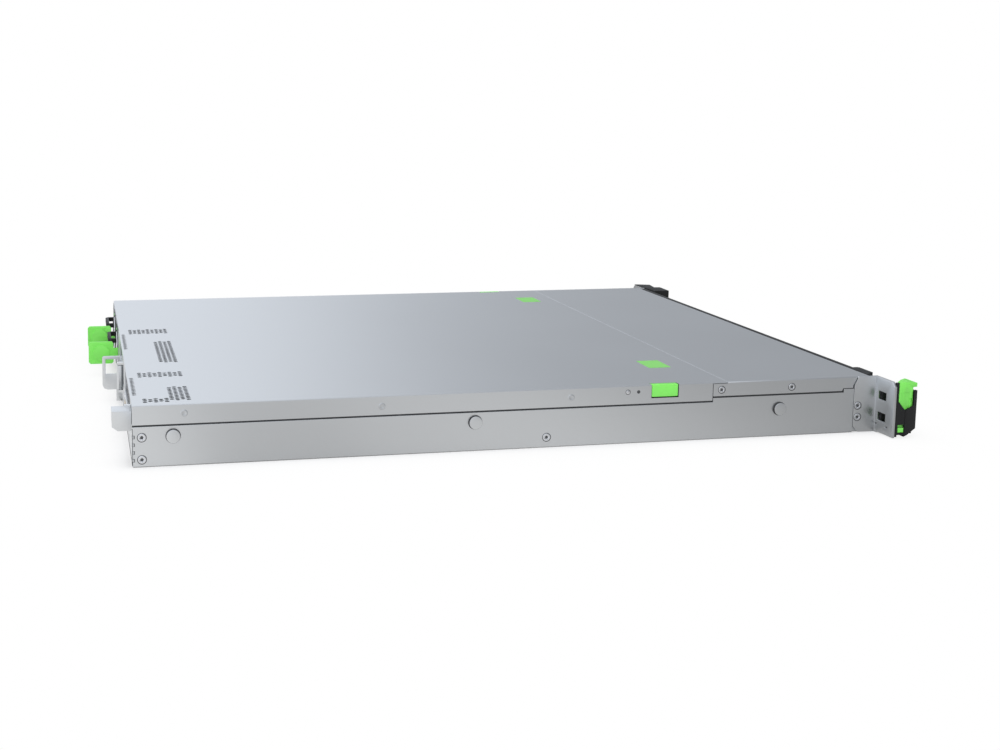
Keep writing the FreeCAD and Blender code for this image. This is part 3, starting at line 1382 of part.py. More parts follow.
def main():
    os.makedirs("parts", exist_ok=True)
    save("chassis_tub", [make_chassis_tub()])
    screws = make_screws(side_screw_places, side_screw_radius, screw_length)
    screws += make_screws(cover_screw_places, cover_screw_radius, screw_length)
    screws += make_screws(ear_screw_places, ear_screw_radius, ear_screw_length)
    save("case_screws", screws)
    save("rail_studs", make_rail_studs())
    save("rear_panel", [make_rear_panel()])
    save("seam_strips", make_seam_strips())
    save("top_cover", make_top_cover())
    latch = make_cover_latch()
    save("cover_latch_left", [latch])
    save("cover_latch_right", [mirrored(latch)])
    save("front_cover", make_front_cover())
    bracket = make_ear_bracket()
    save("ear_bracket_left", [bracket])
    save("ear_bracket_right", [mirrored(bracket)])
    save("ear_housing_left", [make_ear_housing()])
    save("ear_housing_right", [make_hooded_housing()])
    save("ear_lever_left", [make_ear_lever()])
    save("ear_lever_right", [make_far_ear_lever()])
    save("front_strip", [make_front_strip()])
    save("control_board", make_control_board())
    save("power_button", [make_button(power_button_x, power_button_radius)])
    save("id_button", [make_button(id_button_x, id_button_radius)])
    save("drive_cage", [make_drive_cage()])
    for i, x in enumerate(bay_centres_x):
        save("carrier_%d" % (i + 1), [make_carrier(x)])
        save("drive_%d" % (i + 1), [make_drive(x)])
        save("carrier_lever_%d" % (i + 1), [make_carrier_lever(x)])
    save("backplane", make_backplane())
    save("fan_holder", [make_fan_holder()])
    save("fan_frames", [make_fan_frame(x) for x in fan_centres_x])
    for i, x in enumerate(fan_centres_x):
        save("fan_rotor_%d" % (i + 1), [make_fan_rotor(x)])
    save("motherboard", make_motherboard())
    save("board_parts", make_board_parts())
    save("cpu_heatsink", [make_heatsink()])
    save("heatsink_screws", make_heatsink_screws())
    sockets, modules = make_memory()
    save("memory_sockets", sockets)
    save("memory_modules", modules)
    save("air_shroud", [make_shroud()])
    save("rear_ports", make_rear_ports())
    save("slot_blanks", make_slot_blanks())
    cages, boards = make_risers()
    save("riser_cages", cages)
    save("riser_boards", boards)
    save("slot_clamp_1", [make_clamp_1()])
    save("slot_clamp_2", [make_clamp_2()])
    save("psu_cage", make_psu_cage())
    save("power_board", make_power_board())
    for i, left in enumerate(psu_left_xs):
        save("psu_%d_case" % (i + 1), [make_psu_case(left)])
        save("psu_%d_inlet" % (i + 1), [make_psu_inlet(left)])
        save("psu_%d_lever" % (i + 1), [make_psu_lever(left)])


main()
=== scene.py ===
# %% [markdown]
# # A one-unit rack server, dressed for its portrait
# The sheet-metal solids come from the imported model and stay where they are. This file gives them
# soft edges, real finishes and the small details that sheet metal and moulded plastic show.

# %%
import json
import math
import random

import bmesh
import bpy
from mathutils import Matrix, Vector


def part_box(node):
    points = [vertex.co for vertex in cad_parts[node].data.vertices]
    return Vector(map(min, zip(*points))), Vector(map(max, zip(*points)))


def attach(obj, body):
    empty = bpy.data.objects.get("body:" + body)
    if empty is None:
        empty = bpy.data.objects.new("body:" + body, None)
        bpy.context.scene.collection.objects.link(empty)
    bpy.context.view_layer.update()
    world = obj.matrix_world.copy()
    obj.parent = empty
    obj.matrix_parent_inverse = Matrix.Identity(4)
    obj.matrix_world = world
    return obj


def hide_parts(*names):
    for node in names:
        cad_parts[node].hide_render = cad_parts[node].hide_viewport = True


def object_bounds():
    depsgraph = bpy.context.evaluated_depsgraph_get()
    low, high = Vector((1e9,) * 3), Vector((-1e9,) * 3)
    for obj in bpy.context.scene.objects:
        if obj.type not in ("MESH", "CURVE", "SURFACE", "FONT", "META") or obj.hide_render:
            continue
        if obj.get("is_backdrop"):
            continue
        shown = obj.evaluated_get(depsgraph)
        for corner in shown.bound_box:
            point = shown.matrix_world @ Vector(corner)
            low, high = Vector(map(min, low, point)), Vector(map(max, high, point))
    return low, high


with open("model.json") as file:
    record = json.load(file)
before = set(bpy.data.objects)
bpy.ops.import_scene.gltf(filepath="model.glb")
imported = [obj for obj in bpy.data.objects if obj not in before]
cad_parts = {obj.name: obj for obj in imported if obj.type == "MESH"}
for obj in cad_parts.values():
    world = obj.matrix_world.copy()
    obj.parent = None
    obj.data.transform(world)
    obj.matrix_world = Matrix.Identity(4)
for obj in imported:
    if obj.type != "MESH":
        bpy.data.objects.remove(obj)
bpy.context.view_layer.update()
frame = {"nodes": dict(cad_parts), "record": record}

# %% [markdown]
# ## Places
# The chassis was drawn from the rack plane backwards, and the model's origin is the middle of its
# footprint. One small function turns a measured place in millimetres into metres in that frame, so
# every later cell can use the numbers that one would read off a ruler laid along the server.

# %%
ORIGIN_Y = 280.9
HALF_WIDTH = 217.5
HEIGHT = 43.0


def place(x, y, z):
    """A point in millimetres from the rack plane, as metres in the model's frame."""
    return Vector((x / 1000, (y - ORIGIN_Y) / 1000, z / 1000))


# %% [markdown]
# ## Effects that several finishes share
# Plated sheet, moulded plastic and board lacquer all need the same two things: a fine irregular
# grain, and edges painted a little lighter than the faces, partly as wear and partly as a painted
# highlight. Each effect is one node group with named inputs, so a finish only says how large and
# how strong it is.

# %%
def new_group(title, inputs, outputs):
    """An empty shader node group with named float or colour sockets."""
    group = bpy.data.node_groups.new(title, "ShaderNodeTree")
    for name, kind, value in inputs:
        socket = group.interface.new_socket(name=name, in_out="INPUT", socket_type=kind)
        socket.default_value = value
    for name, kind in outputs:
        group.interface.new_socket(name=name, in_out="OUTPUT", socket_type=kind)
    return group, group.nodes.new("NodeGroupInput"), group.nodes.new("NodeGroupOutput")


def math_node(nodes, links, operation, first, second):
    """A Math node whose two inputs are sockets or plain numbers."""
    node = nodes.new("ShaderNodeMath")
    node.operation = operation
    for index, value in enumerate((first, second)):
        if isinstance(value, (int, float)):
            node.inputs[index].default_value = value
        else:
            links.new(value, node.inputs[index])
    return node.outputs[0]


# %% [markdown]
# ### Grain
# Rolled and plated steel has a fine tooth with slow clouds in it. Two noises of very different size
# are added: the small one is the tooth, the large one is the uneven plating that the eye reads as
# "real sheet". The group puts out a height for bump and a cloud for colour and roughness.

# %%
grain_group, group_in, group_out = new_group(
    "surface grain",
    [("Tooth Size", "NodeSocketFloat", 900.0), ("Cloud Size", "NodeSocketFloat", 9.0),
     ("Stretch", "NodeSocketFloat", 1.0)],
    [("Height", "NodeSocketFloat"), ("Cloud", "NodeSocketFloat")])
nodes, links = grain_group.nodes, grain_group.links
coordinates = nodes.new("ShaderNodeTexCoord")
stretched = nodes.new("ShaderNodeCombineXYZ")
links.new(group_in.outputs["Stretch"], stretched.inputs[0])
stretched.inputs[1].default_value = 1.0
stretched.inputs[2].default_value = 1.0
scaled = nodes.new("ShaderNodeVectorMath")
scaled.operation = "MULTIPLY"
links.new(coordinates.outputs["Object"], scaled.inputs[0])
links.new(stretched.outputs[0], scaled.inputs[1])
tooth = nodes.new("ShaderNodeTexNoise")
tooth.inputs["Detail"].default_value = 2.0
links.new(scaled.outputs[0], tooth.inputs["Vector"])
links.new(group_in.outputs["Tooth Size"], tooth.inputs["Scale"])
cloud = nodes.new("ShaderNodeTexNoise")
cloud.inputs["Detail"].default_value = 3.0
links.new(scaled.outputs[0], cloud.inputs["Vector"])
links.new(group_in.outputs["Cloud Size"], cloud.inputs["Scale"])
links.new(tooth.outputs["Fac"], group_out.inputs["Height"])
links.new(cloud.outputs["Fac"], group_out.inputs["Cloud"])

# %% [markdown]
# ### Worn edges and painted highlight
# Handled sheet gets brighter where plating rubs thin on a fold, and the same lighter edge colour
# also stands in for a painted highlight. Pointiness is high on convex edges, so a narrow ramp of it,
# broken up by noise, makes a mask that only edges carry.

# %%
EDGE_MASK_STEEPNESS = 12.0
EDGE_MASK_PATCH_SCALE = 220.0
wear_and_sheen_group, group_in, group_out = new_group(
    "edge wear and painted sheen",
    [("Start", "NodeSocketFloat", 0.52), ("Amount", "NodeSocketFloat", 0.5)],
    [("Mask", "NodeSocketFloat")])
nodes, links = wear_and_sheen_group.nodes, wear_and_sheen_group.links
geometry = nodes.new("ShaderNodeNewGeometry")
above = math_node(nodes, links, "SUBTRACT", geometry.outputs["Pointiness"],
                  group_in.outputs["Start"])
steep = math_node(nodes, links, "MULTIPLY", above, EDGE_MASK_STEEPNESS)
broken = nodes.new("ShaderNodeTexNoise")
broken.inputs["Scale"].default_value = EDGE_MASK_PATCH_SCALE
patchy = math_node(nodes, links, "MULTIPLY", steep, broken.outputs["Fac"])
scaled_mask = nodes.new("ShaderNodeMath")
scaled_mask.operation = "MULTIPLY"
scaled_mask.use_clamp = True
links.new(patchy, scaled_mask.inputs[0])
links.new(group_in.outputs["Amount"], scaled_mask.inputs[1])
links.new(scaled_mask.outputs[0], group_out.inputs["Mask"])
print("shared effects:", [g.name for g in (grain_group, wear_and_sheen_group)])

# %% [markdown]
# ## Finishes
# Every finish is one Principled shader fed by the two groups. The helper mixes a base colour with a
# slightly lighter and darker cloud, lightens edges for wear and as a painted highlight, and drives
# bump and roughness from the grain. Constant values go straight onto the shader's own sockets.

# %%
BUMP_DEPTH = 0.0002
RUB_AND_SHEEN_GAIN, RUB_AND_SHEEN_LIFT = 1.25, 0.02


def finish(title, colour, metallic, roughness, tooth=900.0, cloud=9.0, tint=0.04, rough_swing=0.05,
           bump=0.02, wear_and_sheen=0.25, wear_and_sheen_colour=None, stretch=1.0, coat=0.0):
    """A procedural material for one finish of the server."""
    material = bpy.data.materials.new(title)
    material.use_nodes = True
    nodes, links = material.node_tree.nodes, material.node_tree.links
    shader = nodes["Principled BSDF"]
    shader.inputs["Metallic"].default_value = metallic
    shader.inputs["Coat Weight"].default_value = coat
    grain = nodes.new("ShaderNodeGroup")
    grain.node_tree = grain_group
    grain.inputs["Tooth Size"].default_value = tooth
    grain.inputs["Cloud Size"].default_value = cloud
    grain.inputs["Stretch"].default_value = stretch
    wear = nodes.new("ShaderNodeGroup")
    wear.node_tree = wear_and_sheen_group
    wear.inputs["Amount"].default_value = wear_and_sheen
    shade = nodes.new("ShaderNodeMix")
    shade.data_type = "RGBA"
    shade.inputs["A"].default_value = [c * (1 - tint) for c in colour] + [1]
    shade.inputs["B"].default_value = [min(1, c * (1 + tint)) for c in colour] + [1]
    links.new(grain.outputs["Cloud"], shade.inputs["Factor"])
    # Edges get a lighter colour: partly wear, partly a painted highlight.
    rubbed_and_sheen = nodes.new("ShaderNodeMix")
    rubbed_and_sheen.data_type = "RGBA"
    light = wear_and_sheen_colour or [min(1, c * RUB_AND_SHEEN_GAIN + RUB_AND_SHEEN_LIFT) for c in colour]
    rubbed_and_sheen.inputs["B"].default_value = list(light) + [1]
    links.new(wear.outputs["Mask"], rubbed_and_sheen.inputs["Factor"])
    links.new(shade.outputs["Result"], rubbed_and_sheen.inputs["A"])
    links.new(rubbed_and_sheen.outputs["Result"], shader.inputs["Base Color"])
    swing = math_node(nodes, links, "MULTIPLY", grain.outputs["Cloud"], 2 * rough_swing)
    rough = math_node(nodes, links, "ADD", swing, roughness - rough_swing)
    links.new(rough, shader.inputs["Roughness"])
    bumped = nodes.new("ShaderNodeBump")
    bumped.inputs["Strength"].default_value = bump
    bumped.inputs["Distance"].default_value = BUMP_DEPTH
    links.new(grain.outputs["Height"], bumped.inputs["Height"])
    links.new(bumped.outputs["Normal"], shader.inputs["Normal"])
    return material


# %% [markdown]
# ### The server's own finishes
# The shell is satin plated steel with a cool tint. Fasteners are the same metal, polished brighter.
# What a hand should press or pull has the only strong colour: a satin green plastic, coloured all
# through, and a copy of it with painted shade, a little darker, for the two plates that face up on
# the lid. Housings are near-black plastic with a spark-eroded texture, and boards wear a glossy
# green lacquer.

# %%
shell_steel = finish("satin shell steel", (0.665, 0.68, 0.69), 1.0, 0.34, tooth=1500, cloud=7,
                     tint=0.02, rough_swing=0.03, bump=0.03, wear_and_sheen=0.0)
inner_steel = finish("plain inner steel", (0.50, 0.51, 0.53), 1.0, 0.42, tooth=1100, cloud=14,
                     tint=0.05, rough_swing=0.06, bump=0.05)
bright_steel = finish("bright fastener steel", (0.70, 0.71, 0.73), 1.0, 0.26, tooth=2200, cloud=40,
                      tint=0.03, bump=0.02)
black_plastic = finish("textured black plastic", (0.013, 0.0135, 0.014), 0.0, 0.5, tooth=2600,
                       cloud=30, tint=0.12, bump=0.25, wear_and_sheen=0.1, wear_and_sheen_colour=(0.035, 0.036, 0.037))
black_plastic.node_tree.nodes["Principled BSDF"].inputs["Specular IOR Level"].default_value = 0.25
green_plastic = finish("satin green plastic", (0.19, 0.74, 0.10), 0.0, 0.42, tooth=2400, cloud=20,
                       tint=0.03, bump=0.08, wear_and_sheen=0.3, wear_and_sheen_colour=(0.34, 0.86, 0.24))
shaded_touch_green = finish("touch point green with painted shade", (0.19, 0.60, 0.11), 0.0, 0.42, tooth=2400, cloud=20,
                     tint=0.03, bump=0.08, wear_and_sheen=0.3, wear_and_sheen_colour=(0.34, 0.86, 0.24))
board_laminate = finish("green board lacquer", (0.015, 0.12, 0.055), 0.0, 0.3, tooth=700, cloud=60,
                        tint=0.25, bump=0.06, coat=0.4)
part_resin = finish("moulded chip resin", (0.03, 0.03, 0.033), 0.0, 0.5, tooth=3000, cloud=50,
                    tint=0.15, bump=0.1)
cast_aluminium = finish("satin aluminium", (0.72, 0.73, 0.74), 1.0, 0.34, tooth=1800, cloud=24,
                        tint=0.04, bump=0.05, stretch=6.0)
# A dark steel for painted shade on the stud rims and the tray's bottom folds.
shaded_steel = finish("steel with painted shade", (0.16, 0.16, 0.17), 1.0, 0.5, tooth=1500, cloud=30)
pressed_steel = finish("pressed steel", (0.60, 0.615, 0.625), 1.0, 0.42, tooth=1500, cloud=7,
                       bump=0.03, wear_and_sheen=0.0)
# Painted shade for gaps, holes, sockets and slits, which on the real server only lie in shade.
painted_gap_shade = finish("shadowed gap", (0.05, 0.052, 0.055), 0.0, 0.7, tint=0.1)
ceramic = finish("tan ceramic", (0.42, 0.34, 0.24), 0.0, 0.5, tooth=2500, cloud=60, tint=0.15)
gold_contact = finish("gold contact", (0.85, 0.62, 0.25), 1.0, 0.25, tint=0.05)

FINISHES = {
    "shell_steel": shell_steel, "inner_steel": inner_steel, "bright_steel": bright_steel,
    "black_plastic": black_plastic, "green_plastic": green_plastic,
    "board_laminate": board_laminate, "part_resin": part_resin, "cast_aluminium": cast_aluminium,
}
slot_of = {row["node"]: row["material_slot"] for row in frame["record"]["subparts"]}
for node, solid in frame["nodes"].items():
    solid.data.materials.clear()
    solid.data.materials.append(FINISHES[slot_of[node]])
print("finishes:", len(bpy.data.materials))

# %% [markdown]
# ## Soft edges on the solids
# A bent or moulded edge is never razor sharp: its small radius is what catches the light and makes
# a box read as sheet metal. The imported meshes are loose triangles, so a copy is merged and its flat
# faces dissolved first, and a Bevel modifier then rounds whatever is left of each fold. The copy
# replaces the node on the same body.

# %%
SAME_PLACE = 0.000005
FLAT_ANGLE = math.radians(0.5)
CREASE_ANGLE = math.radians(28)


def merged_copy(node):
    """A bmesh of a node with its doubles merged and its flat faces made whole."""
    mesh = bmesh.new()
    mesh.from_mesh(frame["nodes"][node].data)
    bmesh.ops.remove_doubles(mesh, verts=mesh.verts, dist=SAME_PLACE)
    bmesh.ops.dissolve_limit(mesh, angle_limit=FLAT_ANGLE, verts=mesh.verts, edges=mesh.edges)
    return mesh


def body_of_node(node):
    """The name of the moving body that a node belongs to, or else the chassis."""
    for body, members in frame["record"]["behaviour"]["bodies"].items():
        if node in members:
            return body
    return "chassis"


def finished_piece(title, mesh, body, materials, radius=0.0, segments=2, smooth=True):
    """Turns a bmesh into a piece of the scene with rounded edges, which rides on a body."""
    data = bpy.data.meshes.new(title)
    mesh.to_mesh(data)
    mesh.free()
    for material in materials:
        data.materials.append(material)
    piece = bpy.data.objects.new(title, data)
    bpy.context.scene.collection.objects.link(piece)
    if smooth:
        data.shade_smooth()
    if radius > 0:
        bevel = piece.modifiers.new("edge radius", "BEVEL")
        bevel.width = radius
        bevel.segments = segments
        bevel.limit_method = "ANGLE"
        bevel.angle_limit = CREASE_ANGLE
        bevel.harden_normals = True
        bevel.use_clamp_overlap = True
    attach(piece, body)
    return piece


def soften(node, radius, segments=2):
    """Replaces a node by a copy with rounded edges in the node's own finish."""
    slot = slot_of[node]
    piece = finished_piece(node + "_dressed", merged_copy(node), body_of_node(node),
                           [FINISHES[slot]], radius, segments)
    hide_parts(node)
    return piece


# %% [markdown]
# ### Folded sheet and moulded parts
# Sheet folds get a radius of a few tenths of a millimetre; thick mouldings get more. Widths differ
# because a bevel wider than half the sheet would eat the edge away.

# %%
SHEET_EDGES = {
    "rear_panel": 0.15, "ear_bracket_left": 0.3, "ear_bracket_right": 0.3, "slot_clamp_1": 0.3,
    "slot_clamp_2": 0.3, "slot_blanks": 0.12, "psu_1_case": 0.25, "psu_2_case": 0.25,
    "drive_cage": 0.12, "fan_holder": 0.12, "psu_cage": 0.15, "riser_cages": 0.15,
    "rear_ports": 0.15,
}
MOULDED_EDGES = {
    "ear_housing_left": 0.6, "ear_housing_right": 0.6, "ear_lever_left": 0.45,
    "ear_lever_right": 0.45, "cover_latch_left": 0.8, "cover_latch_right": 0.8,
    "psu_1_lever": 0.5, "psu_2_lever": 0.5, "psu_1_inlet": 0.3, "psu_2_inlet": 0.3,
    "front_strip": 0.25, "power_button": 0.3, "id_button": 0.3, "air_shroud": 0.3,
    "fan_frames": 0.3, "cpu_heatsink": 0.1, "backplane": 0.1, "motherboard": 0.1,
    "memory_sockets": 0.2, "memory_modules": 0.1, "board_parts": 0.2, "power_board": 0.1,
    "riser_boards": 0.15, "control_board": 0.1,
}
for number in range(1, 5):
    MOULDED_EDGES["carrier_%d" % number] = 0.3
    MOULDED_EDGES["carrier_lever_%d" % number] = 0.4
    MOULDED_EDGES["drive_%d" % number] = 0.4
    MOULDED_EDGES["fan_rotor_%d" % number] = 0.2
dressed = {}
for node, radius in {**SHEET_EDGES, **MOULDED_EDGES}.items():
    dressed[node] = soften(node, radius / 1000)
print("softened nodes:", len(dressed))

# %% [markdown]
# ### Another finish on chosen faces
# A painted or shaded part of a piece keeps its mesh and only changes material. The power supplies
# are plain steel boxes, and what stands behind one plane is black: the rear face and finger bail.

# %%
def painted_where(piece, material, test):
    """Gives the faces of a piece that pass a test another finish, and says how many there were."""
    piece.data.materials.append(material)
    number = len(piece.data.materials) - 1
    chosen = [face for face in piece.data.polygons if test(face.center)]
    for face in chosen:
        face.material_index = number
    return len(chosen)


REAR_FACE = place(0, 557.4, 0).y
for case in ("psu_1_case", "psu_2_case"):
    count = painted_where(dressed[case], black_plastic, lambda centre: centre.y > REAR_FACE)
    print(case, "black faces:", count)

# %% [markdown]
# ### Tray, strips and covers
# These long sheets are drawn as flat pieces that meet flush, and a bevel there would cut a false
# groove. So only chosen edges are rounded with the bevel operator: creases that aren't on a flush
# joint. The tray is first bisected where its visible upper edge begins, and its two long bottom
# folds get a larger radius of their own.

# %%
WHOLE_LENGTH = 600.0
FLUSH_JOINTS = {  # height of the joint, and how far back it runs
    "chassis_tub": (28.1, 133.7), "seam_strips": (28.1, WHOLE_LENGTH),
    "front_cover": (42.2, WHOLE_LENGTH), "top_cover": (42.2, WHOLE_LENGTH),
}
BOTTOM_FOLD_RADIUS = 0.75
NEAR = 0.0001
ON_JOINT = 0.00006
LONG_EDGE = 0.02


def fold_bottom(mesh, radius):
    """Rounds the two long bottom folds of the tray more than its other edges."""
    wall_x = HALF_WIDTH / 1000
    long_folds = []
    for edge in mesh.edges:
        low = all(v.co.z < NEAR and abs(abs(v.co.x) - wall_x) < NEAR for v in edge.verts)
        if low and edge.calc_length() > LONG_EDGE:
            long_folds.append(edge)
    bmesh.ops.bevel(mesh, geom=long_folds, offset=radius / 1000, offset_type="OFFSET", segments=4,
                    profile=0.5, affect="EDGES", clamp_overlap=True, material=-1)


def rounded_sheet(node, radius, shortest=0.0):
    """Replaces a sheet node by a copy whose creases are rounded, save those on its flush joint."""
    mesh = merged_copy(node)
    joint_z, joint_end_y = FLUSH_JOINTS[node]
    level = joint_z / 1000
    end = place(0, joint_end_y, 0).y
    if joint_end_y < WHOLE_LENGTH:
        everything = mesh.verts[:] + mesh.edges[:] + mesh.faces[:]
        bmesh.ops.bisect_plane(mesh, geom=everything, dist=SAME_PLACE, plane_co=(0, end, 0),
                               plane_no=(0, 1, 0))
    if node == "chassis_tub":
        fold_bottom(mesh, BOTTOM_FOLD_RADIUS)
    folds = []
    for edge in mesh.edges:
        if len(edge.link_faces) != 2 or edge.calc_face_angle(0) < CREASE_ANGLE:
            continue
        on_joint = all(abs(v.co.z - level) < ON_JOINT and v.co.y < end + NEAR for v in edge.verts)
        if not on_joint and edge.calc_length() > shortest / 1000:
            folds.append(edge)
    bmesh.ops.bevel(mesh, geom=folds, offset=radius / 1000, offset_type="OFFSET", segments=2,
                    profile=0.5, affect="EDGES", clamp_overlap=True, material=-1)
    piece = finished_piece(node + "_dressed", mesh, body_of_node(node),
                           [shell_steel], smooth=False)
    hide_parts(node)
    print(node, "rounded edges:", len(folds), "faces:", len(piece.data.polygons))
    return piece


tray = rounded_sheet("chassis_tub", 0.25)
strips = rounded_sheet("seam_strips", 0.15)
rounded_sheet("front_cover", 0.2)

# %% [markdown]
# ### Shade in the seams
# The gap under the lid's flanges should read as a dark line, also in soft light. So the ledges and
# wall faces behind it are painted with shade, and the bottom folds get a dark steel of painted shade.

# %%
SEAM_HEIGHTS = (0.027, 0.0345)
LEDGE_REACH = (0.2166, 0.2172)
STRIP_FACE_X = 0.2164
FOLD_HEIGHTS = (0.00002, 0.0006)
FOLD_INSIDE_X, FOLD_HALF_LENGTH = 0.2168, 0.276


def behind_seam(centre):
    """True for the ledges under the lid's flanges and for the wall faces beside them."""
    reach = abs(centre.x)
    on_ledge = LEDGE_REACH[0] < reach < LEDGE_REACH[1]
    return (SEAM_HEIGHTS[0] < centre.z < SEAM_HEIGHTS[1] and on_ledge
            or abs(reach - STRIP_FACE_X) < ON_JOINT)


def on_bottom_fold(centre):
    """True for the rounded faces of the tray's two long bottom folds."""
    at_side = abs(centre.x) > FOLD_INSIDE_X and abs(centre.y) < FOLD_HALF_LENGTH
    return FOLD_HEIGHTS[0] < centre.z < FOLD_HEIGHTS[1] and at_side


# Painted shade on the ledges and wall faces behind the seams, and on the bottom folds.
for sheet in (tray, strips):
    print(sheet.name, "faces behind the seams:", painted_where(sheet, painted_gap_shade, behind_seam))
print("bottom fold faces:", painted_where(tray, shaded_steel, on_bottom_fold))

# %% [markdown]
# ### The lid
# The lid has hundreds of punched hexagons whose edges really are crisp, so only its long edges are
# rounded.

# %%
rounded_sheet("top_cover", 0.18, shortest=12.0)

# %% [markdown]
# ## Flat-head screws
# The side screws are flat heads with a six-lobe socket. One head is turned with the spin operator
# from a half profile, and its socket wall is then pinched into six lobes. A thin ring of painted
# shade round the head stands for the clearance gap of its countersink, and its socket and a small
# disc in it are painted with shade.

# %%
SIDE_SCREWS = [  # place along the wall, height and head radius
    (551.5, 20.7, 2.9), (551.5, 5.3, 2.9), (262.7, 7.5, 2.9), (127.0, 37.2, 2.6),
    (70.2, 37.2, 2.6), (14.6, 20.5, 2.8), (14.4, 11.7, 2.8),
]
SCREW_PROUD = 0.00015
SOCKET_WALL = (0.0007, 0.0012)
SOCKET_RADIUS, SOCKET_DEPTH = 0.0010, 0.0004
LOBES, LOBE_DEPTH = 6, 0.16


def turned(profile, steps, axis, centre):
    """Spins a half profile, given as (radius, height) in millimetres, into a closed round form."""
    mesh = bmesh.new()
    points = [mesh.verts.new((r / 1000, 0, h / 1000)) for r, h in profile]
    edges = [mesh.edges.new(pair) for pair in zip(points, points[1:])]
    bmesh.ops.spin(mesh, geom=points + edges, cent=(0, 0, 0), axis=(0, 0, 1),
                   angle=math.tau, steps=steps, use_merge=True)
    bmesh.ops.remove_doubles(mesh, verts=mesh.verts, dist=0.000002)
    bmesh.ops.recalc_face_normals(mesh, faces=mesh.faces)
    turn = Vector((0, 0, 1)).rotation_difference(Vector(axis)).to_matrix().to_4x4()
    bmesh.ops.transform(mesh, matrix=Matrix.Translation(centre) @ turn, verts=mesh.verts)
    return mesh


def gather(meshes):
    """One bmesh from several, each keeping its own faces and material numbers."""
    whole = bmesh.new()
    for mesh in meshes:
        data = bpy.data.meshes.new("part")
        mesh.to_mesh(data)
        mesh.free()
        whole.from_mesh(data)
        bpy.data.meshes.remove(data)
    return whole


# %%
def screw_head(centre, side, radius):
    """A flat head with a lobed socket, whose face looks out of the wall."""
    profile = [(0, -0.9), (0.85, -0.9), (0.95, 0.0), (radius - 0.45, 0.02), (radius, -0.14),
               (radius, -0.4)]
    mesh = turned(profile, 36, (side, 0, 0), centre)
    for vert in mesh.verts:
        offset = vert.co - centre
        reach = math.hypot(offset.y, offset.z)
        if SOCKET_WALL[0] < reach < SOCKET_WALL[1]:
            angle = math.atan2(offset.z, offset.y)
            pinch = 1 + LOBE_DEPTH * math.cos(LOBES * angle)
            vert.co.y = centre.y + offset.y * pinch
            vert.co.z = centre.z + offset.z * pinch
    # The socket's floor and walls get painted shade.
    for face in mesh.faces:
        offset = face.calc_center_median() - centre
        if abs(offset.x) > SOCKET_DEPTH and math.hypot(offset.y, offset.z) < SOCKET_RADIUS:
            face.material_index = 1
    return mesh


def ring(centre, side, inner, outer, lift):
    """A thin flat ring that lies just above a wall."""
    profile = [(inner, 0.0), (inner, lift), (outer, lift), (outer, 0.0)]
    return turned(profile, 36, (side, 0, 0), centre)


def paint(mesh, number):
    """Gives every face of a bmesh the material with this number."""
    for face in mesh.faces:
        face.material_index = number
    return mesh


heads = []
for side in (-1, 1):
    for y, z, radius in SIDE_SCREWS:
        wall = place(side * HALF_WIDTH, y, z)
        out = Vector((side, 0, 0))
        heads.append(screw_head(wall + out * SCREW_PROUD, side, radius))
        # A ring of painted shade round each head, and a disc of painted shade in its socket.
        heads.append(paint(ring(wall, side, radius - 0.1, radius + 0.4, 0.03), 1))
        recess_profile = [(0, 0.05), (0.95, 0.05), (1.0, 0.0)]
        recess = turned(recess_profile, 24, (side, 0, 0), wall + out * (SCREW_PROUD + 0.00001))
        heads.append(paint(recess, 1))
screws = finished_piece("case_screws_dressed", gather(heads), "chassis",
                        [bright_steel, painted_gap_shade])
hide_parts("case_screws")
print("screw faces:", len(screws.data.polygons))

# %% [markdown]
# ## Rail studs
# The studs that hang in the rail's keyholes are turned pins: a neck, a flat head and a small
# chamfer all round. Spin makes the whole pin from one profile. The rim and neck are painted with
# shade in a dark steel, and a thin dark disc on the wall is painted shade that gathers behind it.

# %%
STUDS = (79.8, 316.6, 530.4)
STUD_Z = 21.0
STUD_PROFILE = [(0, 2.0), (4.3, 2.0), (4.68, 1.93), (4.8, 1.78), (4.8, 1.32), (4.65, 1.2),
                (3.0, 1.2), (3.0, 0.05), (3.4, 0.0)]
SHADE_PROFILE = [(0, 0.03), (5.15, 0.03), (5.2, 0.0)]
FACES_OUT = 0.85
pins = []
for side in (-1, 1):
    for y in STUDS:
        wall = place(side * HALF_WIDTH, y, STUD_Z)
        pin = turned(STUD_PROFILE, 48, (side, 0, 0), wall)
        # Faces that don't look straight out, the rim and neck, get painted shade.
        for face in pin.faces:
            face.material_index = 0 if abs(face.normal.x) > FACES_OUT else 1
        pins.append(pin)
        pins.append(paint(turned(SHADE_PROFILE, 48, (side, 0, 0), wall), 2))
studs = finished_piece("rail_studs_dressed", gather(pins), "chassis",
                       [shell_steel, shaded_steel, painted_gap_shade])
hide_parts("rail_studs")
print("stud faces:", len(studs.data.polygons))

# %% [markdown]
# ## Heatsink screws
# Four spring screws hold the processor cooler. They are turned like the side screws, with a
# chamfered head and a plain recess.

# %%
SINK_SCREW_PROFILE = [(0, 2.2), (1.0, 2.2), (1.15, 3.2), (1.9, 3.4), (2.2, 3.1), (2.2, 0.0), (0, 0)]
SINK_FOOT_Z = 14.5
sink_screws = []
for x in (-107.0, -25.0):
    for y in (266.0, 346.0):
        sink_screws.append(turned(SINK_SCREW_PROFILE, 24, (0, 0, 1), place(x, y, SINK_FOOT_Z)))
springs = finished_piece("heatsink_screws_dressed", gather(sink_screws), "chassis",
                         [bright_steel])
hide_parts("heatsink_screws")

# %% [markdown]
# ## Embossed dimples on the lid's flange
# The flange carries three shallow round dimples per side that locate it on the tray. A very flat
# dome turned from a few points is enough, because only its shading shows.

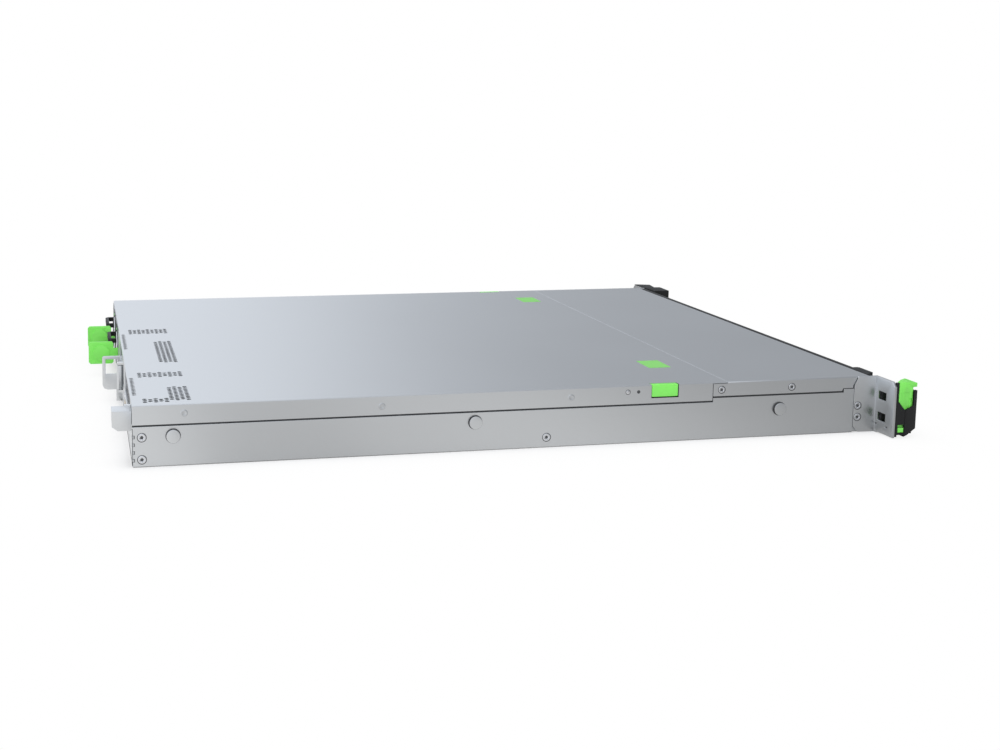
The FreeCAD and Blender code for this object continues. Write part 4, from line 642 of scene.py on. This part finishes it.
# %%
DIMPLES = ((522.9, 36.5), (384.9, 35.4), (244.7, 35.9))
DIMPLE_PROFILE = [(0, 0.08), (1.2, 0.1), (1.75, 0.3), (2.15, 0.26), (2.6, 0.0)]
domes = []
for side in (-1, 1):
    for y, z in DIMPLES:
        domes.append(turned(DIMPLE_PROFILE, 32, (side, 0, 0), place(side * HALF_WIDTH, y, z)))
finished_piece("flange_dimples", gather(domes), "cover", [pressed_steel])
print("dimples:", len(DIMPLES) * 2)

# %% [markdown]
# ## Touch points on the lid
# Two flush green plates mark where the thumbs go. A cube is stretched to the plate, its upright
# corners are rounded with the bevel operator, and its top edge gets a small radius.

# %%
def plate(x0, x1, y0, y1, z0, z1, corner=0.0):
    """A thin slab between two corners in millimetres, with its upright edges rounded."""
    mesh = bmesh.new()
    bmesh.ops.create_cube(mesh, size=1.0)
    low, high = place(x0, y0, z0), place(x1, y1, z1)
    bmesh.ops.scale(mesh, vec=high - low, verts=mesh.verts)
    bmesh.ops.translate(mesh, vec=(low + high) / 2, verts=mesh.verts)
    if corner > 0:
        tall = 0.5 * (high.z - low.z)
        upright = [e for e in mesh.edges if abs(e.verts[0].co.z - e.verts[1].co.z) > tall]
        bmesh.ops.bevel(mesh, geom=upright, offset=corner / 1000, offset_type="OFFSET", segments=4,
                        profile=0.5, affect="EDGES", clamp_overlap=True, material=-1)
    return mesh


TOUCH_PLATES = ((-162.5, -137.0, 142.3, 160.3), (147.0, 173.5, 139.0, 157.5))
TOUCH_FOOT, TOUCH_TOP, TOUCH_CORNER = HEIGHT - 0.1, HEIGHT + 0.12, 0.8
touch = gather([plate(*sides, TOUCH_FOOT, TOUCH_TOP, TOUCH_CORNER) for sides in TOUCH_PLATES])
# The plates get the green copy with painted shade, darker than the green elsewhere.
finished_piece("touch_points", touch, "cover", [shaded_touch_green], 0.00008)

# %% [markdown]
# ## Small hardware beside the latches
# Next to each latch sit a flush rivet and a pin hole. The rivet is a turned disc with a soft rim and
# a thin ring of painted shade round it, and the hole is a turned cup of painted shade sunk in a thin
# rim.

# %%
RIVET_PROFILE = [(0, 0.12), (1.3, 0.12), (1.6, 0.0)]
HOLE_PROFILE = [(0, 0.02), (0.9, 0.03), (1.2, 0.05), (1.3, 0.0)]
small = []
for side in (-1, 1):
    rivet_at = place(side * HALF_WIDTH, 201.0, 38.3)
    hole_at = place(side * HALF_WIDTH, 192.8, 38.2)
    small.append(turned(RIVET_PROFILE, 28, (side, 0, 0), rivet_at))
    # The pin hole and the ring round the rivet are painted shade.
    small.append(paint(turned(HOLE_PROFILE, 28, (side, 0, 0), hole_at), 1))
    small.append(paint(ring(rivet_at, side, 1.5, 1.95, 0.02), 1))
finished_piece("latch_hardware", gather(small), "cover", [bright_steel, painted_gap_shade])

# %% [markdown]
# ## Fans and guards of the power supplies
# Each power supply pulls air through a round opening. Behind it sits a small wheel with pitched
# blades, and a guard of round wire lies over it. Rings of wire come from spinning a small circle.
# A blade is a grid that is pitched and given a thickness, and is then copied round the hub.

# %%
PSU_LEFTS = {"psu_1_case": 65.8, "psu_2_case": 141.3}
PSU_FACE_Y = 558.5
FAN_OFFSET_X, FAN_Z, FAN_HUB_Y = 25.0, 21.2, 552.6
HUB_PROFILE = [(0, 2.0), (4.4, 2.0), (5.0, 1.4), (5.0, -5.0), (0, -5.0)]
BOSS_PROFILE = [(0, 0.5), (1.6, 0.5), (2.0, 0.1), (2.0, -0.3), (0, -0.3)]
BLADES, BLADE_PITCH, BLADE_THICKNESS = 7, math.radians(38), 0.0006
GUARD_RADII, GUARD_WIRE, GUARD_LIFT = (4.6, 9.3, 14.0), 0.5, 0.35
WIRE_SIDES = 8
UPRIGHT_TO_REAR = Vector((0, 0, 1)).rotation_difference(Vector((0, 1, 0))).to_matrix().to_4x4()


def wire_ring(radius, wire, centre):
    """A closed ring of round wire in an upright plane that faces the rear."""
    profile = []
    for step in range(WIRE_SIDES + 1):
        angle = math.tau * step / WIRE_SIDES
        profile.append((radius + wire * math.cos(angle), wire * math.sin(angle)))
    return turned(profile, 48, (0, 1, 0), centre)


def blade(hub, tip, chord, angle, centre):
    """One pitched fan blade between the hub and the tip radius."""
    mesh = bmesh.new()
    bmesh.ops.create_grid(mesh, x_segments=4, y_segments=3, size=0.5)
    bmesh.ops.scale(mesh, vec=((tip - hub) / 1000, chord / 1000, 1), verts=mesh.verts)
    bmesh.ops.translate(mesh, vec=((tip + hub) / 2000, 0, 0), verts=mesh.verts)
    bmesh.ops.rotate(mesh, cent=(0, 0, 0), matrix=Matrix.Rotation(BLADE_PITCH, 3, "X"),
                     verts=mesh.verts)
    bmesh.ops.solidify(mesh, geom=mesh.faces[:], thickness=BLADE_THICKNESS)
    whole = Matrix.Translation(centre) @ UPRIGHT_TO_REAR @ Matrix.Rotation(angle, 4, "Z")
    bmesh.ops.transform(mesh, matrix=whole, verts=mesh.verts)
    return mesh


for case, left in PSU_LEFTS.items():
    hub_at = place(left + FAN_OFFSET_X, FAN_HUB_Y, FAN_Z)
    wheel = [turned(HUB_PROFILE, 32, (0, 1, 0), hub_at)]
    for step in range(BLADES):
        wheel.append(blade(4.8, 13.6, 7.5, math.tau * step / BLADES, hub_at))
    finished_piece(case.replace("case", "fan_wheel"), gather(wheel), body_of_node(case),
                   [black_plastic])
    face_at = place(left + FAN_OFFSET_X, PSU_FACE_Y + GUARD_LIFT, FAN_Z)
    rings = [wire_ring(radius, GUARD_WIRE, face_at) for radius in GUARD_RADII]
    rings.append(turned(BOSS_PROFILE, 24, (0, 1, 0), face_at))
    finished_piece(case.replace("case", "fan_guard"), gather(rings), body_of_node(case),
                   [bright_steel])
print("fan wheels and guards:", len(PSU_LEFTS) * 2)

# %% [markdown]
# ## Perforated fields
# Slot covers, power supplies and drive carriers breathe through staggered hexagonal holes. There
# are hundreds, so each is a single flat hexagon of painted shade, laid flush on its sheet.

# %%
def hex_field(x0, x1, z0, z1, y, facing, pitch=3.5, size=1.35):
    """Staggered flat hexagons, which stand for holes in painted shade, on an upright sheet that faces
    the front (-1) or the rear (1).
    """
    rise = pitch * math.sin(math.radians(60))
    turn = Vector((0, 0, 1)).rotation_difference(Vector((0, facing, 0))).to_matrix().to_4x4()
    cells = []
    for row in range(int((z1 - z0) / rise) + 1):
        x = x0 + (row % 2) * pitch / 2
        while x <= x1:
            mesh = bmesh.new()
            bmesh.ops.create_circle(mesh, cap_ends=True, segments=6, radius=size / 1000)
            spot = place(x, y, z0 + row * rise)
            bmesh.ops.transform(mesh, matrix=Matrix.Translation(spot) @ turn, verts=mesh.verts)
            cells.append(mesh)
            x += pitch
    return cells


SLOT_COVERS = ((-24.0, 35.5), (-188.0, -86.0))
SLOT_FACE_Y = 557.03
FLUSH_LIFT = 0.03
fields = []
for x0, x1 in SLOT_COVERS:
    fields += hex_field(x0, x1, 24.5, 38.5, SLOT_FACE_Y, 1)
finished_piece("slot_cover_vents", gather(fields), body_of_node("slot_blanks"),
               [painted_gap_shade], smooth=False)
for case, left in PSU_LEFTS.items():
    cells = hex_field(left + 44.5, left + 67.0, 31.5, 38.0, PSU_FACE_Y + FLUSH_LIFT, 1, pitch=3.2,
                      size=1.2)
    finished_piece(case.replace("case", "face_vents"), gather(cells), body_of_node(case),
                   [painted_gap_shade], smooth=False)
print("perforated fields:", len(SLOT_COVERS) + len(PSU_LEFTS))

# %% [markdown]
# ## Status lamps
# A clear moulded lens covers each lamp. It is a low dome with a short collar, turned from one
# profile, in a glossy pale green plastic.

# %%
lens_plastic = finish("clear green lens", (0.30, 0.80, 0.30), 0.0, 0.12, tooth=600, cloud=80,
                      bump=0.01, wear_and_sheen=0.0, coat=0.6)


def lens(centre, facing, radius):
    """A low clear dome that faces the front (-1) or the rear (1)."""
    profile = [(0, 0.5), (radius * 0.5, 0.42), (radius * 0.85, 0.2), (radius, 0.0), (radius, -0.6)]
    return turned(profile, 20, (0, facing, 0), centre)


for case, left in PSU_LEFTS.items():
    dome = lens(place(left + 37.5, PSU_FACE_Y, 36.0), 1, 1.3)
    finished_piece(case.replace("case", "lamp"), dome, body_of_node(case),
                   [lens_plastic])
print("power supply lamps:", len(PSU_LEFTS))

# %% [markdown]
# ## Sockets at the rear
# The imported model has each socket's metal shell. Inside go what a plug would meet: springy gilt
# contacts in the network sockets, black tongues in the stacked ones, and an insert with rows of
# pins and two hexagonal jack posts in the wide ones.

# %%
NETWORK_SOCKETS = (48.0, -12.0, -62.0)
STACKED_SOCKETS = (26.0, 8.0)
WIDE_SOCKETS = {-90.0: (5, 3), -132.0: (5, 2)}  # place: columns and rows of pins
SOCKET_DEEP_Y, SOCKET_MOUTH_Y = 546.0, 558.2
STEEL, BLACK, GILT = 0, 1, 2


def peg(x, y0, y1, z, radius, sides):
    """A short post along the depth of the server."""
    mesh = bmesh.new()
    bmesh.ops.create_cone(mesh, cap_ends=True, segments=sides, radius1=radius / 1000,
                          radius2=radius / 1000, depth=(y1 - y0) / 1000)
    middle = Matrix.Translation(place(x, (y0 + y1) / 2, z))
    bmesh.ops.transform(mesh, matrix=middle @ UPRIGHT_TO_REAR, verts=mesh.verts)
    return mesh


inside = []
for x in NETWORK_SOCKETS:
    for step in range(8):
        left = x - 4.3 + step * 1.15
        inside.append(paint(plate(left, left + 0.5, SOCKET_DEEP_Y, 554.5, 17.6, 18.0), GILT))
    for side in (-1, 1):
        middle = x + side * 6.2
        window = plate(middle - 1.1, middle + 1.1, 555.0, SOCKET_MOUTH_Y, 17.4, 19.6)
        inside.append(paint(window, BLACK))
for x in STACKED_SOCKETS:
    inside.append(paint(plate(x - 6.2, x + 6.2, SOCKET_DEEP_Y, SOCKET_MOUTH_Y, 13.5, 14.5), STEEL))
    for low in (9.2, 15.9):
        inside.append(paint(plate(x - 5.2, x + 5.2, SOCKET_DEEP_Y, 557.0, low, low + 1.9), BLACK))
for x, (columns, rows) in WIDE_SOCKETS.items():
    inside.append(paint(plate(x - 14.4, x + 14.4, 552.0, 554.5, 8.2, 18.6), STEEL))
    inside.append(paint(plate(x - 8.6, x + 8.6, 554.5, SOCKET_MOUTH_Y, 9.6, 17.2, 1.8), BLACK))
    for row in range(rows):
        for column in range(columns):
            at = x - 5.4 + column * 2.7 + (row % 2) * 1.2 - 0.6
            inside.append(paint(peg(at, 557.5, 558.35, 11.2 + row * 2.2, 0.45, 10), GILT))
    for side in (-1, 1):
        inside.append(paint(peg(x + side * 11.9, 554.5, 558.3, 13.4, 2.3, 6), STEEL))
sockets = finished_piece("socket_contacts", gather(inside), "chassis",
                         [bright_steel, black_plastic, gold_contact], 0.00008, smooth=False)
print("socket pieces:", len(sockets.data.polygons), "faces")

# %% [markdown]
# ## Small parts on the boards
# A bare lacquered board looks like a toy. Real ones are crowded with chip resistors, capacitors and
# small packages in rows. A seeded generator scatters a few hundred little slabs, and leaves out
# every place where a larger part already stands.

# %%
SMALL_PART_COUNT = 420
BOARD_X, BOARD_Y = (-208, 54), (228, 536)
GRID_X, GRID_Y = 3.2, 2.8
BOARD_TOP, SOLDER = 7.2, 0.05
LARGE_FROM = 0.9
MARGIN = 2
PACKAGES = ((1.6, 0.8, 0.5), (2.0, 1.2, 0.6), (0.8, 1.6, 0.5), (3.0, 2.4, 1.0), (2.4, 2.4, 1.6))
TAKEN = [(-112, -20, 256, 356), (-200, -155, 232, 374), (-26, 16, 428, 470), (18, 46, 260, 340),
         (28, 48, 362, 402), (0, 36, 226, 238), (-162, -138, 408, 432), (-212, 58, 538, 553)]
low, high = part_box("memory_sockets")
TAKEN.append((low[0] * 1000, high[0] * 1000, low[1] * 1000 + ORIGIN_Y, high[1] * 1000 + ORIGIN_Y))


def is_taken(x, y):
    """True where a larger part of the board already stands, or almost."""
    return any(x0 - MARGIN < x < x1 + MARGIN and y0 - MARGIN < y < y1 + MARGIN
               for x0, x1, y0, y1 in TAKEN)


dice = random.Random(11)
slabs = []
while len(slabs) < SMALL_PART_COUNT:
    x, y = dice.uniform(*BOARD_X), dice.uniform(*BOARD_Y)
    x, y = round(x / GRID_X) * GRID_X, round(y / GRID_Y) * GRID_Y
    wide, deep, tall = dice.choice(PACKAGES)
    if is_taken(x, y):
        continue
    slab = plate(x - wide / 2, x + wide / 2, y - deep / 2, y + deep / 2, BOARD_TOP - SOLDER,
                 BOARD_TOP + tall)
    slabs.append(paint(slab, 0 if tall > LARGE_FROM else dice.choice((1, 2))))
finished_piece("board_small_parts", gather(slabs), "chassis",
               [part_resin, bright_steel, ceramic], smooth=False)
print("small parts:", len(slabs))

# %% [markdown]
# ## Carrier faces
# The front of each drive carrier has ribs that stiffen the finger end, a perforated patch that lets
# air past the drive, and two lamps. The lever gets three raised grip bars.

# %%
CARRIER_PITCH = 105.5
CARRIER_FACE_Y = -8.0
RIB_ROOT_Y = CARRIER_FACE_Y + 0.2
lever_slot = slot_of["carrier_lever_1"]
for number in range(1, 5):
    x = (number - 2.5) * CARRIER_PITCH
    body = body_of_node("carrier_%d" % number)
    ribs = [plate(x + 36.0, x + 50.0, CARRIER_FACE_Y - 0.5, RIB_ROOT_Y, z, z + 1.2)
            for z in (4.5, 7.5, 22.5, 25.5)]
    ribs += [plate(x - 50.5, x + 30.0, CARRIER_FACE_Y - 0.35, RIB_ROOT_Y, z, z + 0.9)
             for z in (3.6, 27.2)]
    finished_piece("carrier_%d_ribs" % number, gather(ribs), body,
                   [black_plastic], 0.00015)
    # The perforated patch is flat hexagons of painted shade.
    cells = hex_field(x + 37.0, x + 49.0, 11.0, 19.8, CARRIER_FACE_Y - FLUSH_LIFT, -1, pitch=2.9,
                      size=1.1)
    finished_piece("carrier_%d_vents" % number, gather(cells), body, [painted_gap_shade],
                   smooth=False)
    domes = [lens(place(x + 33.4, CARRIER_FACE_Y, z), -1, 0.9) for z in (24.5, 5.5)]
    finished_piece("carrier_%d_lamps" % number, gather(domes), body,
                   [lens_plastic])
    first_bar = x + 10.0
    bars = [plate(first_bar + step * 3, first_bar + 1.2 + step * 3, -11.25, -10.7, 11.0, 20.6)
            for step in range(3)]
    finished_piece("carrier_lever_%d_grip" % number, gather(bars),
                   body_of_node("carrier_lever_%d" % number), [FINISHES[lever_slot]],
                   0.00015)
print("dressed carriers:", 4)

# %% [markdown]
# ## Ear cheeks
# The corner of each ear housing is carried out a little by a moulded cheek. It starts from a plan
# outline that is extruded upwards; bisecting with sloping planes gives its V-shaped upper edge.

# %%
def prism_from_plan(outline, z0, z1):
    """An upright prism from a plan outline in millimetres."""
    mesh = bmesh.new()
    base = mesh.faces.new([mesh.verts.new(place(x, y, z0)) for x, y in outline])
    grown = bmesh.ops.extrude_face_region(mesh, geom=[base])
    top = [item for item in grown["geom"] if isinstance(item, bmesh.types.BMVert)]
    bmesh.ops.translate(mesh, vec=(0, 0, (z1 - z0) / 1000), verts=top)
    bmesh.ops.recalc_face_normals(mesh, faces=mesh.faces)
    return mesh


def keep_side(mesh, point, normal):
    """Cuts a closed mesh by a plane, keeps what lies behind the plane and closes the cut."""
    everything = mesh.verts[:] + mesh.edges[:] + mesh.faces[:]
    cut = bmesh.ops.bisect_plane(mesh, geom=everything, dist=0.000002, plane_co=point,
                                 plane_no=normal, clear_outer=True)
    rim = [item for item in cut["geom_cut"] if isinstance(item, bmesh.types.BMEdge)]
    bmesh.ops.holes_fill(mesh, edges=rim, sides=0)
    return mesh


CHEEK = ((-241.25, -9.8), (-241.25, -12.2), (-236.9, -22.0), (-234.5, -22.0), (-234.5, -20.9),
         (-236.0, -20.8))
COLUMN = ((-238.55, -18.4), (-236.9, -22.0), (-234.5, -22.0), (-234.5, -20.9), (-236.0, -20.8),
          (-237.1, -18.4))
TOP_AT, TOP_SLOPE = place(-240, -9.8, 21.5), Vector((0, 3.0, 8.6)).normalized()
FOOT_AT, FOOT_SLOPE = place(-240, -9.8, 1.6), Vector((0, -4.2, -10.9)).normalized()
for side, name in ((-1, "left"), (1, "right")):
    mirror = Matrix.Diagonal((-side, 1, 1, 1))
    foot = keep_side(prism_from_plan(CHEEK, 2.0, 26.0), TOP_AT, TOP_SLOPE)
    foot = keep_side(foot, FOOT_AT, FOOT_SLOPE)
    blocks = [foot, prism_from_plan(COLUMN, 20.0, 35.5)]
    for mesh in blocks:
        bmesh.ops.transform(mesh, matrix=mirror, verts=mesh.verts)
        bmesh.ops.recalc_face_normals(mesh, faces=mesh.faces)
    finished_piece("ear_cheek_" + name, gather(blocks), body_of_node("ear_housing_" + name),
                   [black_plastic], 0.0003)
print("cheeks:", 2)

# %% [markdown]
# ## Marks and shadows on the shell
# A few flat details remain: strips of painted shade in the slits of the finger joint and along the
# rear corner, and a bright tab at the lid's rear edge.

# %%
JOINT_HEIGHTS = (4.9, 10.3, 15.7, 21.1)
SLIT_REACH, SLIT_PROUD, CORNER_PROUD = 1.2, 0.04, 0.03
slits = []
for side in (-1, 1):
    wall_x = side * HALF_WIDTH
    for z in JOINT_HEIGHTS:
        slits.append(plate(wall_x - SLIT_PROUD, wall_x + SLIT_PROUD, 556.2, 556.75,
                           z - SLIT_REACH, z + SLIT_REACH))
    slits.append(plate(wall_x - CORNER_PROUD, wall_x + CORNER_PROUD, 557.6, 558.0, 1.2, 27.0))
# The slits and the corner strip are painted shade.
finished_piece("joint_slits", gather(slits), "chassis", [painted_gap_shade], smooth=False)

rear_tab = plate(136.6, 137.6, 551.0, 555.5, HEIGHT, HEIGHT + 0.02)
finished_piece("rear_edge_tab", rear_tab, "cover", [bright_steel], smooth=False)
print("shell marks:", 2)

# %% [markdown]
# ## Floor, world and lamps
# The stage is a plain pale floor under soft light. Camera, glossy and transmission rays see white
# beyond the server, so the background stays white without extra light on the metal. One large soft
# lamp overhead gives the gentle shadow, and a weaker one at the side fills the walls.

# %%
RAMP_CEILING = 1.5


def tone_ramp(nodes, links, value, low, high, stops):
    """A strength that follows a value through chosen stops, each a (value, strength) pair."""
    spread = nodes.new("ShaderNodeMapRange")
    spread.inputs["From Min"].default_value = low
    spread.inputs["From Max"].default_value = high
    links.new(value, spread.inputs["Value"])
    curve = nodes.new("ShaderNodeFloatCurve")
    line = curve.mapping.curves[0]
    while len(line.points) < len(stops):
        line.points.new(0.5, 0.5)
    for point, (at, strength) in zip(line.points, stops):
        point.location = ((at - low) / (high - low), strength / RAMP_CEILING)
    curve.mapping.update()
    links.new(spread.outputs["Result"], curve.inputs["Value"])
    return math_node(nodes, links, "MULTIPLY", curve.outputs["Value"], RAMP_CEILING)


# %% [markdown]
# ### Floor
# Away from the server the floor glows plain white to the camera. Close to it the glow gives way to
# the floor's own paint, so the soft shadow stays. What the metal mirrors of the floor follows a
# second curve along the server, and gives the long walls their slow change of tone.

# %%
FLOOR_HALF, FLOOR_DROP = 30.0, 0.0002
floor_mesh = bmesh.new()
bmesh.ops.create_grid(floor_mesh, x_segments=2, y_segments=2, size=FLOOR_HALF)
bmesh.ops.translate(floor_mesh, vec=(0, 0, -FLOOR_DROP), verts=floor_mesh.verts)
floor_data = bpy.data.meshes.new("floor")
floor_mesh.to_mesh(floor_data)
floor_mesh.free()
floor = bpy.data.objects.new("floor", floor_data)
bpy.context.scene.collection.objects.link(floor)
floor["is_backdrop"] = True

NEAR_SERVER = [(0.0, 0.40), (0.006, 0.62), (0.02, 0.86), (0.06, 0.98), (0.12, 1.03), (0.4, 1.03)]
ALONG_SERVER = [(-0.32, 0.30), (-0.24, 0.37), (-0.14, 0.54), (-0.02, 0.71), (0.08, 0.63),
                (0.15, 0.52), (0.20, 0.55), (0.25, 0.80), (0.32, 0.95)]
floor_paint = bpy.data.materials.new("white studio floor")
floor_paint.use_nodes = True
nodes, links = floor_paint.node_tree.nodes, floor_paint.node_tree.links
shader = nodes["Principled BSDF"]
shader.inputs["Base Color"].default_value = (0.86, 0.86, 0.87, 1)
shader.inputs["Roughness"].default_value = 0.8
shader.inputs["Specular IOR Level"].default_value = 0.1
glow = nodes.new("ShaderNodeEmission")
glow.inputs["Color"].default_value = (1, 1, 1, 1)
where = nodes.new("ShaderNodeTexCoord")
along = nodes.new("ShaderNodeSeparateXYZ")
links.new(where.outputs["Object"], along.inputs[0])
beyond = []
for axis, half in (("X", HALF_WIDTH / 1000), ("Y", 0.280)):
    reach = math_node(nodes, links, "ABSOLUTE", along.outputs[axis], 0.0)
    beyond.append(math_node(nodes, links, "SUBTRACT", reach, half))
clear = math_node(nodes, links, "MAXIMUM", beyond[0], beyond[1])
away = tone_ramp(nodes, links, clear, 0.0, 0.4, NEAR_SERVER)
toward_rear = tone_ramp(nodes, links, along.outputs["Y"], -0.32, 0.32, ALONG_SERVER)
path = nodes.new("ShaderNodeLightPath")
glossy = nodes.new("ShaderNodeMix")
glossy.data_type = "FLOAT"
glossy.inputs["B"].default_value = 0.78
links.new(path.outputs["Is Glossy Ray"], glossy.inputs["Factor"])
links.new(away, glossy.inputs["A"])
seen = math_node(nodes, links, "MAXIMUM", path.outputs["Is Camera Ray"],
                 path.outputs["Is Glossy Ray"])
seen = math_node(nodes, links, "MAXIMUM", seen, path.outputs["Is Transmission Ray"])
share = math_node(nodes, links, "MULTIPLY", seen, glossy.outputs["Result"])
strength = nodes.new("ShaderNodeMix")
strength.data_type = "FLOAT"
strength.inputs["A"].default_value = 1.0
links.new(path.outputs["Is Glossy Ray"], strength.inputs["Factor"])
links.new(toward_rear, strength.inputs["B"])
links.new(strength.outputs["Result"], glow.inputs["Strength"])
blend = nodes.new("ShaderNodeMixShader")
links.new(share, blend.inputs[0])
links.new(shader.outputs[0], blend.inputs[1])
links.new(glow.outputs[0], blend.inputs[2])
links.new(blend.outputs[0], nodes["Material Output"].inputs["Surface"])
floor_data.materials.append(floor_paint)

# %% [markdown]
# ### World
# The sky is plain white to the camera. What the server mirrors is a slightly bluer sky, dimmer
# toward the front and close to the horizon, and that is what shades the lid from end to end.

# %%
SIDE_TONES = [(-0.6, 0.42), (-0.45, 0.48), (-0.32, 0.53), (-0.24, 0.66), (-0.16, 0.90),
              (-0.08, 1.06), (0.2, 1.06)]
HORIZON_TONES = [(0.0, 0.78), (0.15, 0.84), (0.26, 1.0), (0.4, 1.0)]
world = bpy.data.worlds.new("soft studio")
bpy.context.scene.world = world
world.use_nodes = True
nodes, links = world.node_tree.nodes, world.node_tree.links
background = nodes["Background"]
direction = nodes.new("ShaderNodeTexCoord")
split = nodes.new("ShaderNodeSeparateXYZ")
links.new(direction.outputs["Generated"], split.inputs[0])
side_light = tone_ramp(nodes, links, split.outputs["Y"], -0.6, 0.2, SIDE_TONES)
low_sky = tone_ramp(nodes, links, split.outputs["Z"], 0.0, 0.4, HORIZON_TONES)
side_light = math_node(nodes, links, "MULTIPLY", side_light, low_sky)
path = nodes.new("ShaderNodeLightPath")
seen = math_node(nodes, links, "MAXIMUM", path.outputs["Is Glossy Ray"],
                 path.outputs["Is Transmission Ray"])
shade = nodes.new("ShaderNodeMix")
shade.data_type = "FLOAT"
shade.inputs["A"].default_value = 0.74
links.new(seen, shade.inputs["Factor"])
links.new(side_light, shade.inputs["B"])
white = nodes.new("ShaderNodeMix")
white.data_type = "FLOAT"
white.inputs["B"].default_value = 1.0
links.new(path.outputs["Is Camera Ray"], white.inputs["Factor"])
links.new(shade.outputs["Result"], white.inputs["A"])
links.new(white.outputs["Result"], background.inputs["Strength"])
cool = nodes.new("ShaderNodeMix")
cool.data_type = "RGBA"
cool.inputs["A"].default_value = (1, 1, 1, 1)
cool.inputs["B"].default_value = (0.94, 0.985, 1.06, 1)
links.new(path.outputs["Is Glossy Ray"], cool.inputs["Factor"])
links.new(cool.outputs["Result"], background.inputs["Color"])

# %% [markdown]
# ### Lamps
# Both lamps are large squares, so their shadows have no edge, and neither is mirrored in the metal.

# %%
def soft_lamp(title, position, aim, size, power):
    """A square area lamp that points at a place."""
    lamp = bpy.data.lights.new(title, "AREA")
    lamp.shape = "SQUARE"
    lamp.size = size
    lamp.energy = power
    holder = bpy.data.objects.new(title, lamp)
    bpy.context.scene.collection.objects.link(holder)
    holder.location = position
    holder.rotation_euler = (Vector(aim) - Vector(position)).to_track_quat("-Z", "Y").to_euler()
    holder.visible_glossy = False


soft_lamp("overhead softbox", (-0.5, 0.5, 2.1), (0, 0, 0), 2.0, 24)
soft_lamp("low side softbox", (-1.7, 0.8, 0.55), (0, 0, 0), 1.4, 9)
print("lamps:", 2)

# %% [markdown]
# ## Camera
# The camera stands off the rear left corner, a little above the lid. Its turn is given as a heading,
# a tilt and a slight roll, and a small shift frames the server as in the reference view.

# %%
HEADING, TILT, ROLL = -0.2079535, 0.1279858, 0.00940831
FOCAL_PIXELS, CENTRE_X, CENTRE_Y = 1346.55, 360.0, 250.0
FRAME_WIDTH, FRAME_HEIGHT = 1000, 750
SENSOR_WIDTH = 36
STANDPOINT = (-1116.57113, 591.415878, 264.539410)

forward = Vector((math.cos(TILT) * math.cos(HEADING), math.cos(TILT) * math.sin(HEADING),
                  -math.sin(TILT)))
right = forward.cross(Vector((0, 0, 1))).normalized()
upward = right.cross(forward)
rolled_right = right * math.cos(ROLL) + upward * math.sin(ROLL)
rolled_up = upward * math.cos(ROLL) - right * math.sin(ROLL)
turn = Matrix((rolled_right, rolled_up, -forward)).transposed().to_4x4()
camera_data = bpy.data.cameras.new("portrait camera")
camera_data.sensor_width = SENSOR_WIDTH
camera_data.lens = FOCAL_PIXELS * SENSOR_WIDTH / FRAME_WIDTH
camera_data.shift_x = (FRAME_WIDTH / 2 - CENTRE_X) / FRAME_WIDTH
camera_data.shift_y = (CENTRE_Y - FRAME_HEIGHT / 2) / FRAME_WIDTH
camera_data.clip_start = 0.01
camera_data.clip_end = 100
camera = bpy.data.objects.new("portrait camera", camera_data)
bpy.context.scene.collection.objects.link(camera)
camera.matrix_world = Matrix.Translation(place(*STANDPOINT)) @ turn
bpy.context.scene.camera = camera
bpy.context.scene.view_settings.view_transform = "Standard"

# %%
bpy.context.view_layer.update()
low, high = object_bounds()
print("dressed span", [round(v, 4) for v in high - low])
